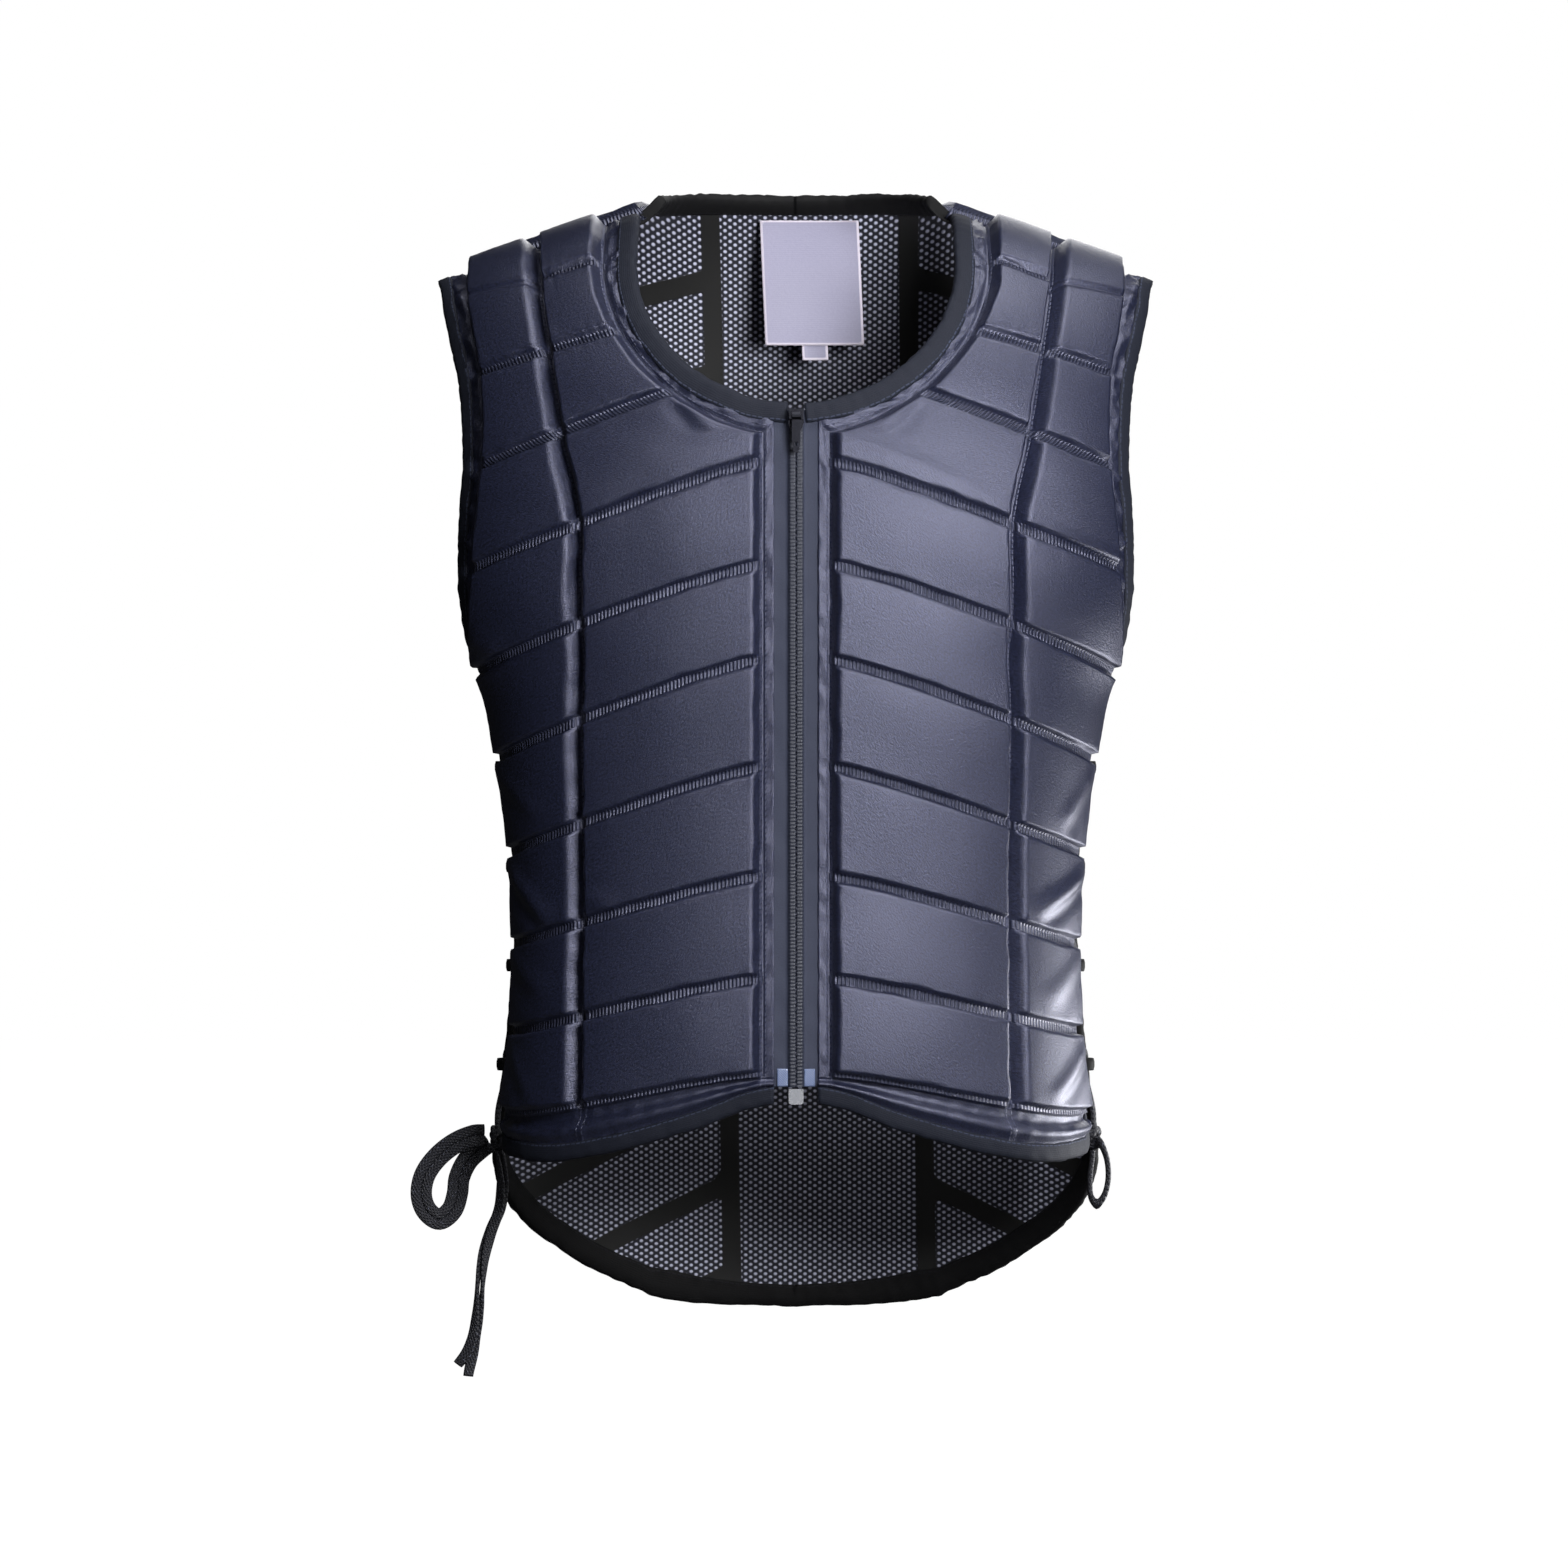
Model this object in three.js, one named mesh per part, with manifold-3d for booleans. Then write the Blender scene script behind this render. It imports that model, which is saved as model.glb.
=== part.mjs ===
// Equestrian body protector: a sleeveless vest of foam blocks quilted onto a thin body cloth, in millimetres, +Z up.
// The front faces -Y and its left half lies at -X. The origin is the middle of the neck opening, at the height of
// the neck points on the shoulders, which is where the vest rests when it is worn.
// The body cloth is one curved shell, front and back. Every piece of cloth, foam and binding is laid out on it by
// two angles: "turn" round the body from the middle of its face, and "roll" down from the shoulder seam.
import * as THREE from 'three';
import { mergeVertices } from 'three/addons/utils/BufferGeometryUtils.js';
import Module from 'manifold-3d';

const wasm = await Module();
wasm.setup();

// Body shell
const torsoHalfWidth = 206;
const torsoHalfDepth = 104;
const squareness = 2.5;
const shoulderRoll = 160;
const shoulderSlope = 0.353;
const shoulderSoftness = 40;
const nape = 26;

// Lengths below the neck points, and the openings
const frontLength = 492;
const backLength = 627;
const neckHalfWidth = 87;
const neckFrontDrop = 114;
const neckBackRise = 22;
const neckCurveStart = 35;
const armholeDrop = 215;
const frontSideTurn = 78.4;
const backSideTurn = 73.5;

// Cloth, foam and trim
const gap = 0.35;
const seamGap = 0.75;
const neckSeamGap = 1.2;
const clothWall = 3;
const padHeight = 9;
const padCrown = 0.8;
const channelFloor = 1.6;
const channelMid = 3;
const channelTop = 5;
const channelMidHeight = 6.2;
const webWall = 1.1;
const neckBinding = 10;
const armBinding = 8.5;
const frontBinding = 9;
const backBinding = 12;
const bindingProud = 1.6;
const bindingCrown = 1.1;
const neckFacing = 8;
const armFacing = 8;
const tailFacing = 7;

// Zip
const zipTapeHalf = 11.5;
const zipTapeWall = 1.4;
const coilHalf = 4;
const coilHeight = 2.8;
const zipFacing = 5.5;
const sliderWidth = 8.4;
const sliderLength = 12;
const sliderHeight = 3.6;
const pullerWidth = 5.6;
const pullerLength = 21;
const pullerWall = 1.5;
const pinRadius = 0.9;
const pullerBore = pinRadius + 0.35;
const pullerBarrel = pullerBore + 1.1;
const boxWidth = 8;
const boxLength = 9;

// Label and laces
const labelWidth = 57;
const labelHeight = 72;
const labelWall = 0.8;
const labelAway = 4.3;
const labelOut = 8;
const tabWidth = 15;
const tabHeight = 9.5;
const spineHalfWidth = 55;
const laceRadius = 2.5;
const lacePairRadius = 4.6;
const eyeRadius = 5.2;
const eyeWall = 1.3;
const eyeHeight = 7;
const eyesPerEdge = 4;
const laceTop = 0.573 * frontLength;
const laceBottom = 0.9715 * frontLength;
const knotRadius = 7.5;
const knotOut = torsoHalfWidth - 38;
const knotBack = 6;
const knotDrop = frontLength + 26;

const cloth = new THREE.MeshStandardMaterial({ color: 0x2d3245, roughness: 0.75, metalness: 0 });
const foamCloth = new THREE.MeshStandardMaterial({ color: 0x343a52, roughness: 0.7, metalness: 0 });
const bindingCloth = new THREE.MeshStandardMaterial({ color: 0x363b47, roughness: 0.8, metalness: 0 });
const blackBinding = new THREE.MeshStandardMaterial({ color: 0x0c0c12, roughness: 0.85, metalness: 0 });
const zipTape = new THREE.MeshStandardMaterial({ color: 0x20263c, roughness: 0.8, metalness: 0 });
const darkMetal = new THREE.MeshStandardMaterial({ color: 0x14151c, roughness: 0.4, metalness: 0.8 });
const brightMetal = new THREE.MeshStandardMaterial({ color: 0xb9bcc6, roughness: 0.3, metalness: 1 });
const labelCloth = new THREE.MeshStandardMaterial({ color: 0xb5b4ca, roughness: 0.7, metalness: 0 });
const laceBraid = new THREE.MeshStandardMaterial({ color: 0x12131c, roughness: 0.8, metalness: 0 });

// Half widths of the shell, as shares of torsoHalfWidth, and its depth, as shares of torsoHalfDepth, at drops below
// the shoulder line that are shares of frontLength. The waist is narrow and the back flares over the hips.
const sections = [
  { drop: 0, front: 1, back: 1, depth: 1 },
  { drop: 0.122, front: 1, back: 1, depth: 1 },
  { drop: 0.244, front: 0.99, back: 0.99, depth: 1 },
  { drop: 0.325, front: 0.966, back: 0.966, depth: 1 },
  { drop: 0.386, front: 0.927, back: 0.93, depth: 1 },
  { drop: 0.437, front: 0.879, back: 0.885, depth: 0.99 },
  { drop: 0.494, front: 0.822, back: 0.838, depth: 0.98 },
  { drop: 0.557, front: 0.797, back: 0.815, depth: 0.965 },
  { drop: 0.665, front: 0.762, back: 0.782, depth: 0.935 },
  { drop: 0.78, front: 0.748, back: 0.773, depth: 0.925 },
  { drop: 0.882, front: 0.754, back: 0.793, depth: 0.945 },
  { drop: 0.949, front: 0.771, back: 0.812, depth: 0.965 },
  { drop: 1.016, front: 0.8, back: 0.835, depth: 0.98 },
  { drop: 1.3, front: 0.82, back: 0.84, depth: 1 },
];

// The armhole edge of the body cloth: its width share of the shell at a share of armholeDrop.
const armholeEdge = [
  { drop: 0, width: 0.945 },
  { drop: 0.14, width: 0.908 },
  { drop: 0.3, width: 0.873 },
  { drop: 0.5, width: 0.864 },
  { drop: 0.68, width: 0.89 },
  { drop: 0.85, width: 0.935 },
  { drop: 0.94, width: 0.968 },
];

// The sewn channels between the front blocks, from the shoulder seam down. inner, princess and outer are heights
// below the neck point, as shares of frontLength, at the zip side, the long seam and the arm side. seam is where the
// long seam lies, as a share of torsoHalfWidth.
const frontRows = [
  { row: 0, inner: 0, princess: 0, outer: 0, seam: 0.697 },
  { row: 1, inner: 0.069, princess: 0.093, outer: 0.11, seam: 0.675 },
  { row: 2, inner: 0.152, princess: 0.173, outer: 0.201, seam: 0.643 },
  { row: 3, inner: 0.22, princess: 0.264, outer: 0.303, seam: 0.607 },
  { row: 4, inner: 0.297, princess: 0.364, outer: 0.413, seam: 0.56 },
  { row: 5, inner: 0.409, princess: 0.472, outer: 0.52, seam: 0.558 },
  { row: 6, inner: 0.512, princess: 0.578, outer: 0.622, seam: 0.557 },
  { row: 7, inner: 0.63, princess: 0.693, outer: 0.728, seam: 0.553 },
  { row: 8, inner: 0.751, princess: 0.803, outer: 0.831, seam: 0.551 },
  { row: 9, inner: 0.864, princess: 0.907, outer: 0.929, seam: 0.553 },
  { row: 10, inner: 0.97, princess: 1.007, outer: 1.022, seam: 0.558 },
];

// The front hem of the body cloth: heights as shares of frontLength at width shares of torsoHalfWidth.
const frontHem = [
  { width: 0, height: 0.981 },
  { width: 0.1, height: 0.985 },
  { width: 0.29, height: 1.014 },
  { width: 0.51, height: 1.04 },
  { width: 0.66, height: 1.05 },
  { width: 0.8, height: 1.045 },
];

// The channels between the back blocks, which rise to the spine block, and the tail of the body cloth.
const backRows = [
  { row: 1, spine: 0.038, side: 0.088 },
  { row: 2, spine: 0.107, side: 0.158 },
  { row: 3, spine: 0.193, side: 0.246 },
  { row: 4, spine: 0.281, side: 0.334 },
  { row: 5, spine: 0.367, side: 0.423 },
  { row: 6, spine: 0.455, side: 0.511 },
  { row: 7, spine: 0.541, side: 0.598 },
  { row: 8, spine: 0.627, side: 0.684 },
  { row: 9, spine: 0.715, side: 0.768 },
  { row: 10, spine: 0.801, side: 0.838 },
];
const backTail = [
  { width: 0, height: 0.98 },
  { width: 0.25, height: 0.974 },
  { width: 0.51, height: 0.948 },
  { width: 0.7, height: 0.906 },
  { width: 0.8, height: 0.87 },
];
const spineBreaks = [0, 3, 6, 9, 11];

// The free laces, as points down their middle, in the vest's own directions from the knot that they leave.
const laceLoopLeft = [
  [-7.4, -2.8, 0.8], [-13.5, -4.5, 0.5], [-24, -3.5, -4], [-34, -2, -12], [-41, -2, -22], [-43, -2, -33],
  [-40, -2, -42], [-33, -1, -47], [-26, 0, -42], [-23, 2, -33], [-22, 4, -24], [-17.5, 6.5, -14.5], [-10, 6.2, -7.4],
  [-5.5, 3.5, -4.1],
];
const laceEndsLeft = [
  [1.2, 0, -7.9], [2.2, 1, -17], [2.5, 3, -28], [1, 3, -41], [-4, 2, -54], [-8, 2, -68], [-10, 2, -83], [-11, 2, -97],
  [-13, 2, -111], [-16, 2, -123], [-21, 2, -134],
];
const laceLoopRight = [
  [2.4, -7.1, -2.4], [4.3, -11.5, -5], [6.8, -14, -13], [7.2, -15.5, -23], [5, -16, -32], [1, -14.5, -37],
  [-2, -11, -33.5], [-2.4, -7, -26], [-1.5, -3, -18], [-0.7, -1, -13], [-0.4, -0.5, -7.9],
];

const FRONT = -1;
const BACK = 1;
const LEFT = -1;
const RIGHT = 1;
const HALF_PI = Math.PI / 2;
const seamRoll = gap / (2 * torsoHalfDepth);
const zipEdge = zipTapeHalf + gap;

// A smooth curve through a table's rows: the value under a key where another key has a given value.
function along(table, by, key, at) {
  const last = table.length - 1;
  const place = Math.min(Math.max(at, table[0][by]), table[last][by]);
  const next = Math.max(1, table.findIndex((row) => row[by] >= place));
  const from = table[next - 1];
  const to = table[next];
  const before = table[Math.max(0, next - 2)];
  const after = table[Math.min(last, next + 1)];
  const span = to[by] - from[by];
  const share = (place - from[by]) / span;
  const startSlope = ((to[key] - before[key]) / (to[by] - before[by])) * span;
  const endSlope = ((after[key] - from[key]) / (after[by] - from[by])) * span;
  const square = share * share;
  const cube = square * share;
  return (2 * cube - 3 * square + 1) * from[key] + (cube - 2 * square + share) * startSlope
    + (3 * square - 2 * cube) * to[key] + (cube - square) * endSlope;
}

// The height of the shoulder seam over a distance from the middle. The back also rises to the nape.
function shoulderLine(face, x) {
  const reach = (from) => Math.hypot(from, shoulderSoftness);
  const napeShare = Math.max(0, 1 - (x / neckHalfWidth) ** 4) ** 1.5;
  return shoulderSlope * (reach(neckHalfWidth) - reach(x)) + (face === BACK ? nape * napeShare : 0);
}

const dropOf = (roll) => shoulderRoll * (roll < HALF_PI ? 1 - Math.cos(roll) : 1 + roll - HALF_PI);
const rollOf = (drop) => (drop < shoulderRoll
  ? Math.acos(1 - Math.max(drop, 0) / shoulderRoll) : HALF_PI + drop / shoulderRoll - 1);
const halfWidthAt = (face, drop) => torsoHalfWidth
  * along(sections, 'drop', face === FRONT ? 'front' : 'back', drop / frontLength);

// The shell itself: a squared ellipse at each drop, whose depth grows over the shoulder as a quarter ellipse.
function shell(face, turn, roll) {
  const drop = dropOf(roll);
  const depth = torsoHalfDepth * along(sections, 'drop', 'depth', drop / frontLength)
    * Math.sin(Math.min(roll, HALF_PI));
  const sine = Math.sin(turn);
  const cosine = Math.cos(turn);
  const norm = (Math.abs(sine) ** squareness + Math.abs(cosine) ** squareness) ** (-1 / squareness);
  const x = halfWidthAt(face, drop) * sine * norm;
  return new THREE.Vector3(x, face * depth * cosine * norm, shoulderLine(face, x) - drop);
}

// How the shell runs at a spot: its two tangents, per radian.
function tangents(face, turn, roll) {
  const step = 0.002;
  const low = Math.max(roll - step, 0);
  return {
    turning: shell(face, turn + step, roll).sub(shell(face, turn - step, roll)).divideScalar(2 * step),
    rolling: shell(face, turn, roll + step).sub(shell(face, turn, low)).divideScalar(roll + step - low),
  };
}

// A point a given height above the outer side of the body cloth, on either side of the vest.
function onCloth(face, side, spot, height = 0) {
  const point = shell(face, spot.turn, spot.roll);
  const { turning, rolling } = tangents(face, spot.turn, spot.roll);
  point.addScaledVector(turning.cross(rolling).normalize(), face * height);
  return new THREE.Vector3(point.x * side, point.y, point.z);
}

// The spot of a distance from the middle and a height, seen from the front.
function spotAt(face, x, z) {
  const drop = shoulderLine(face, x) - z;
  const width = Math.min(x / halfWidthAt(face, drop), 1);
  return { turn: Math.atan2(width, (1 - width ** squareness) ** (1 / squareness)), roll: rollOf(drop) };
}

// The spot at a height on a line that has a fixed turn.
function spotOnTurn(face, degrees, z) {
  const turn = THREE.MathUtils.degToRad(degrees);
  let roll = HALF_PI;
  for (let pass = 0; pass < 12; pass += 1) {
    roll = rollOf(dropOf(roll) + shell(face, turn, roll).z - z);
  }
  return { turn, roll };
}

// The spot of the armhole edge at a height below the neck point.
function armholeSpot(face, z) {
  let drop = -z;
  let turn = 0;
  for (let pass = 0; pass < 12; pass += 1) {
    const width = along(armholeEdge, 'drop', 'width', drop / armholeDrop);
    turn = Math.atan2(width, (1 - width ** squareness) ** (1 / squareness));
    drop = Math.max(0, shoulderLine(face, halfWidthAt(face, drop) * width) - z);
  }
  return { turn, roll: Math.max(rollOf(drop), seamRoll) };
}

// Moves a spot along the cloth, in millimetres: out from the middle, and down.
function moved(face, spot, out, down = 0) {
  const { turning, rolling } = tangents(face, spot.turn, spot.roll);
  return {
    turn: spot.turn + out / turning.length(),
    roll: Math.max(spot.roll + down / rolling.length(), seamRoll),
  };
}

const between = (from, to, share) => ({
  turn: THREE.MathUtils.lerp(from.turn, to.turn, share),
  roll: THREE.MathUtils.lerp(from.roll, to.roll, share),
});

// A spot on a line of knots, straight between them.
function onLine(knots, at) {
  const next = Math.max(1, knots.findIndex((knot) => knot.at >= at - 1e-9));
  const share = (at - knots[next - 1].at) / (knots[next].at - knots[next - 1].at);
  return between(knots[next - 1], knots[next], share);
}

// The neckline at a margin outside its finished edge, as a flattened oval: the spot at an angle up from its lowest
// point. Its exponent falls with the margin, as a parallel curve's would.
function necklineSpot(margin, angle) {
  const exponent = 2.2 - 0.02 * margin;
  const across = (neckHalfWidth + margin) * Math.sin(angle) ** (2 / exponent);
  const down = (neckFrontDrop + margin - neckCurveStart) * Math.cos(angle) ** (2 / exponent);
  return spotAt(FRONT, across, -neckCurveStart - down);
}

// The angle of the neckline where it reaches a height or a distance from the middle.
function necklineAngle(margin, { z, x }) {
  const exponent = 2.2 - 0.02 * margin;
  if (z !== undefined) {
    const share = Math.max(0, -z - neckCurveStart) / (neckFrontDrop + margin - neckCurveStart);
    return Math.acos(Math.min(1, share) ** (exponent / 2));
  }
  return Math.asin((x / (neckHalfWidth + margin)) ** (exponent / 2));
}

// The long lines of a front half, at every channel: the opening's edge, the blocks' inner ends, the princess seam,
// the blocks' outer ends and the cloth's arm and side edge. The neckline turns into the zip between rows 3 and 4.
const frontLines = {};
{
  const facingMargin = neckBinding + neckFacing;
  const heights = (key) => frontRows.map((row) => -row[key] * frontLength);
  const innerZ = heights('inner');
  const outerZ = heights('outer');
  const princessZ = heights('princess');
  const line = (margin, zipX) => {
    const turnIn = necklineAngle(margin, { x: zipX });
    const angles = innerZ.slice(0, 4).map((z) => necklineAngle(facingMargin, { z }));
    const bend = (share) => THREE.MathUtils.lerp(angles[3], turnIn, share);
    return [
      { at: 0, ...spotAt(FRONT, neckHalfWidth + margin, shoulderLine(FRONT, neckHalfWidth + margin)) },
      ...[1, 2, 3].map((row) => ({ at: row, ...necklineSpot(margin, angles[row]) })),
      { at: 3.4, ...necklineSpot(margin, bend(0.5)) },
      { at: 3.8, ...necklineSpot(margin, turnIn) },
      ...innerZ.slice(4).map((z, index) => ({ at: 4 + index, ...spotAt(FRONT, zipX, z) })),
    ].map((knot) => ({ ...knot, roll: Math.max(knot.roll, seamRoll) }));
  };
  frontLines.open = line(neckBinding, zipEdge);
  frontLines.inner = line(facingMargin, zipEdge + zipFacing);
  frontLines.princess = frontRows.map((row, index) => {
    const x = row.seam * torsoHalfWidth;
    const spot = spotAt(FRONT, x, index ? princessZ[index] : shoulderLine(FRONT, x));
    return { at: index, ...spot, roll: Math.max(spot.roll, seamRoll) };
  });
  const edge = (z) => (z > -armholeDrop - 20 ? armholeSpot(FRONT, z) : spotOnTurn(FRONT, frontSideTurn, z));
  const armRows = [
    { at: 0, z: shoulderLine(FRONT, torsoHalfWidth * armholeEdge[0].width) },
    ...outerZ.slice(1, 5).map((z, index) => ({ at: index + 1, z })),
    { at: 4.35, z: THREE.MathUtils.lerp(outerZ[4], outerZ[5], 0.35) },
    { at: 4.7, z: THREE.MathUtils.lerp(outerZ[4], outerZ[5], 0.6) },
    ...outerZ.slice(5).map((z, index) => ({ at: index + 5, z })),
  ];
  frontLines.edge = armRows.map(({ at, z }) => ({ at, ...edge(z) }));
  frontLines.outer = frontLines.edge.map((knot) => ({ at: knot.at, ...moved(FRONT, knot, -armFacing) }));
}

// The row stops of a front half and, across it, the lines and shares between them that its meshes share.
const frontStops = [0, 0.5, 1, 1.5, 2, 2.5, 3, 3.4, 3.8, 4, 4.35, 4.7, 5, 6, 7, 8, 9, 10, 11];
const frontCross = [
  ['open', 'inner', 0], ['inner', 'princess', 0], ['inner', 'princess', 0.34], ['inner', 'princess', 0.67],
  ['princess', 'outer', 0], ['princess', 'outer', 0.5], ['outer', 'edge', 0], ['outer', 'edge', 1],
];

function hemSpot(table, length, face, x, lift = 0) {
  return spotAt(face, x, -along(table, 'width', 'height', x / torsoHalfWidth) * length + lift);
}

function frontSpot([from, to, share], at) {
  const row = Math.min(at, 10);
  const spot = between(onLine(frontLines[from], row), onLine(frontLines[to], row), share);
  if (at <= 10) return spot;
  const cornerCut = to === 'edge' && share === 1 ? 8 : 0;
  const x = shell(FRONT, spot.turn, spot.roll).x - cornerCut;
  const hem = hemSpot(frontHem, frontLength, FRONT, Math.min(x, 0.78 * torsoHalfWidth), cornerCut);
  return between(spot, { turn: spot.turn - cornerCut / torsoHalfDepth, roll: hem.roll }, at - 10);
}

// Meshes

const border = (grid) => [
  ...grid[0].slice(0, -1),
  ...grid.slice(0, -1).map((row) => row[row.length - 1]),
  ...grid[grid.length - 1].slice(1).reverse(),
  ...grid.slice(1).reverse().map((row) => row[0]),
];

function sheet(grid) {
  return grid.slice(1).flatMap((row, r) => row.slice(1).flatMap((corner, c) => [
    [grid[r][c], grid[r][c + 1], corner],
    [grid[r][c], corner, row[c]],
  ]));
}

// A closed body between two grids of points that have the same stops, with rings of points on its walls.
function closedBody(low, high, rings = []) {
  const points = [];
  const store = (list) => list.map((point) => points.push(point) - 1);
  const lower = low.map(store);
  const upper = high.map(store);
  const loops = [border(lower), ...rings.map((ring) => store(border(ring))), border(upper)];
  const walls = loops.slice(1).flatMap((above, level) => above.flatMap((corner, index) => {
    const below = loops[level];
    const next = (index + 1) % above.length;
    return [[below[index], below[next], above[next]], [below[index], above[next], corner]];
  }));
  const triangles = [...sheet(upper), ...sheet(lower).map((face) => face.toReversed()), ...walls];
  const volume = triangles.reduce((sum, [a, b, c]) => (
    sum + points[a].dot(new THREE.Vector3().crossVectors(points[b], points[c]))), 0);
  const geometry = new THREE.BufferGeometry().setFromPoints(points);
  geometry.setIndex((volume > 0 ? triangles : triangles.map((face) => face.toReversed())).flat());
  return geometry;
}

function toSolid(geometry) {
  const bare = geometry.clone();
  ['normal', 'uv'].filter((name) => bare.hasAttribute(name)).forEach((name) => bare.deleteAttribute(name));
  const merged = mergeVertices(bare, 1e-4);
  return new wasm.Manifold(new wasm.Mesh({
    numProp: 3,
    vertProperties: new Float32Array(merged.getAttribute('position').array),
    triVerts: new Uint32Array(merged.getIndex().array),
  }));
}

function joined(geometries) {
  const [first, ...rest] = geometries.map(toSolid);
  const { vertProperties, triVerts } = rest.reduce((whole, piece) => whole.add(piece), first).getMesh();
  const geometry = new THREE.BufferGeometry();
  geometry.setAttribute('position', new THREE.BufferAttribute(vertProperties, 3));
  geometry.setIndex(new THREE.BufferAttribute(triVerts, 1));
  return geometry;
}

const vest = new THREE.Group();

function addPiece(name, geometry, material) {
  const mesh = new THREE.Mesh(geometry, material);
  mesh.name = name;
  vest.add(mesh);
  return mesh;
}

const sides = [{ side: LEFT, name: 'left' }, { side: RIGHT, name: 'right' }];

// Front panels: the body cloth of each half, between the neckline, the zip, the hem, the side and the armhole.
function frontPanel(side) {
  const layer = (height) => frontStops.map((at) => (
    frontCross.map((cross) => onCloth(FRONT, side, frontSpot(cross, at), height))));
  return closedBody(layer(-clothWall), layer(0));
}

// A foam block over one cell of the quilting. Its walls lean in from the channel's floor to the top's edge.
function foamBlock(face, side, spotIn, acrossStops, downStops) {
  const corner = (share, at) => onCloth(face, side, spotIn(share, at));
  const [start, end] = [downStops[0], downStops[downStops.length - 1]];
  const middle = (start + end) / 2;
  const width = corner(0, middle).distanceTo(corner(1, middle));
  const height = corner(0.5, start).distanceTo(corner(0.5, end));
  const layer = (inset, lift, crown = 0) => {
    const pull = (stop, low, high, share) => Math.min(Math.max(stop, low + share), high - share);
    return downStops.map((at, r) => acrossStops.map((share, c) => {
      const across = pull(share, 0, 1, inset / width);
      const down = pull(at, start, end, (inset / height) * (end - start));
      const inside = r > 0 && r < downStops.length - 1 && c > 0 && c < acrossStops.length - 1;
      return onCloth(face, side, spotIn(across, down), lift + (inside ? crown : 0));
    }));
  };
  return closedBody(layer(channelFloor, gap), layer(channelTop, padHeight, padCrown),
    [layer(channelMid, channelMidHeight)]);
}

const stopsIn = (start, end) => frontStops.filter((at) => at >= start && at <= end);

function frontBlocks(side, name) {
  const place = (from, to) => (share, at) => frontSpot([from, to, share], at);
  for (let row = 1; row <= 10; row += 1) {
    const label = String(row).padStart(2, '0');
    const inner = foamBlock(FRONT, side, place('inner', 'princess'), [0, 0.34, 0.67, 1], stopsIn(row - 1, row));
    addPiece(`pad_${name}_inner_${label}`, inner, foamCloth);
  }
  // The two top blocks on the arm side are one long block over the shoulder.
  for (let row = 2; row <= 10; row += 1) {
    const stops = stopsIn(row === 2 ? 0 : row - 1, row);
    const outer = foamBlock(FRONT, side, place('princess', 'outer'), [0, 0.5, 1], stops);
    addPiece(`pad_${name}_outer_${String(row).padStart(2, '0')}`, outer, foamCloth);
  }
}

// The back: its top edge is the neckline, and then the shoulder seam.
function backTop(x) {
  const neck = neckHalfWidth + neckBinding;
  const share = Math.max(0, 1 - (x / neck) ** 4);
  const z = x < neck ? shoulderLine(BACK, neck) + neckRiseAtCloth * share : shoulderLine(BACK, x);
  const spot = spotAt(BACK, x, z);
  return { ...spot, roll: Math.max(spot.roll, seamRoll) };
}
const neckRiseAtCloth = neckBackRise - neckBinding - shoulderLine(BACK, neckHalfWidth + neckBinding);

const backEdgeTop = torsoHalfWidth * armholeEdge[0].width;
const tailCorner = 0.79 * torsoHalfWidth;

// The long lines of a back half: the middle, the spine block's edge, the blocks' outer ends and the cloth's edge.
// The last two rows are the tail, whose corners are rounded.
const backLines = {};
{
  const armFloor = -armholeDrop - 20;
  const inner = (x) => [
    { at: 0, ...backTop(x) },
    ...backRows.map(({ row, spine }) => ({ at: row, ...spotAt(BACK, x, -spine * backLength) })),
    ...[11, 12].map((row) => ({ at: row, ...hemSpot(backTail, backLength, BACK, x) })),
  ];
  backLines.middle = inner(0);
  backLines.spine = inner(spineHalfWidth);
  const edge = (z) => (z > armFloor ? armholeSpot(BACK, z) : spotOnTurn(BACK, backSideTurn, z));
  const heights = backRows.map(({ row, side }) => ({ at: row, z: -side * backLength }));
  heights.splice(4, 0, { at: 4.5, z: (heights[3].z + heights[4].z) / 2 });
  const corner = spotOnTurn(BACK, backSideTurn, heights.at(-1).z);
  backLines.edge = [
    { at: 0, ...armholeSpot(BACK, shoulderLine(BACK, backEdgeTop)) },
    ...heights.map(({ at, z }) => ({ at, ...edge(z) })),
    { at: 11, ...moved(BACK, corner, -2, 6) },
    { at: 12, ...moved(BACK, corner, -9, 12) },
  ];
  backLines.outer = backLines.edge.map((knot) => ({ at: knot.at, ...moved(BACK, knot, -armFacing) }));
}

// A spot on the back at a share between two of its lines. The top row follows the neckline, the last two the tail.
function backSpot([from, to, share], at) {
  const row = (place) => between(onLine(backLines[from], place), onLine(backLines[to], place), share);
  const fromMiddle = (spot) => shell(BACK, spot.turn, spot.roll).x;
  if (at < 1) return between(backTop(fromMiddle(row(0))), row(1), at);
  if (at <= 10) return row(at);
  const inTail = (spot) => {
    const tail = hemSpot(backTail, backLength, BACK, Math.min(fromMiddle(spot), tailCorner));
    return { turn: spot.turn, roll: tail.roll };
  };
  const low = inTail(row(12));
  const high = moved(BACK, inTail(row(11)), 0, -tailFacing);
  return at <= 11 ? between(row(10), high, at - 10) : between(high, low, at - 11);
}

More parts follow.
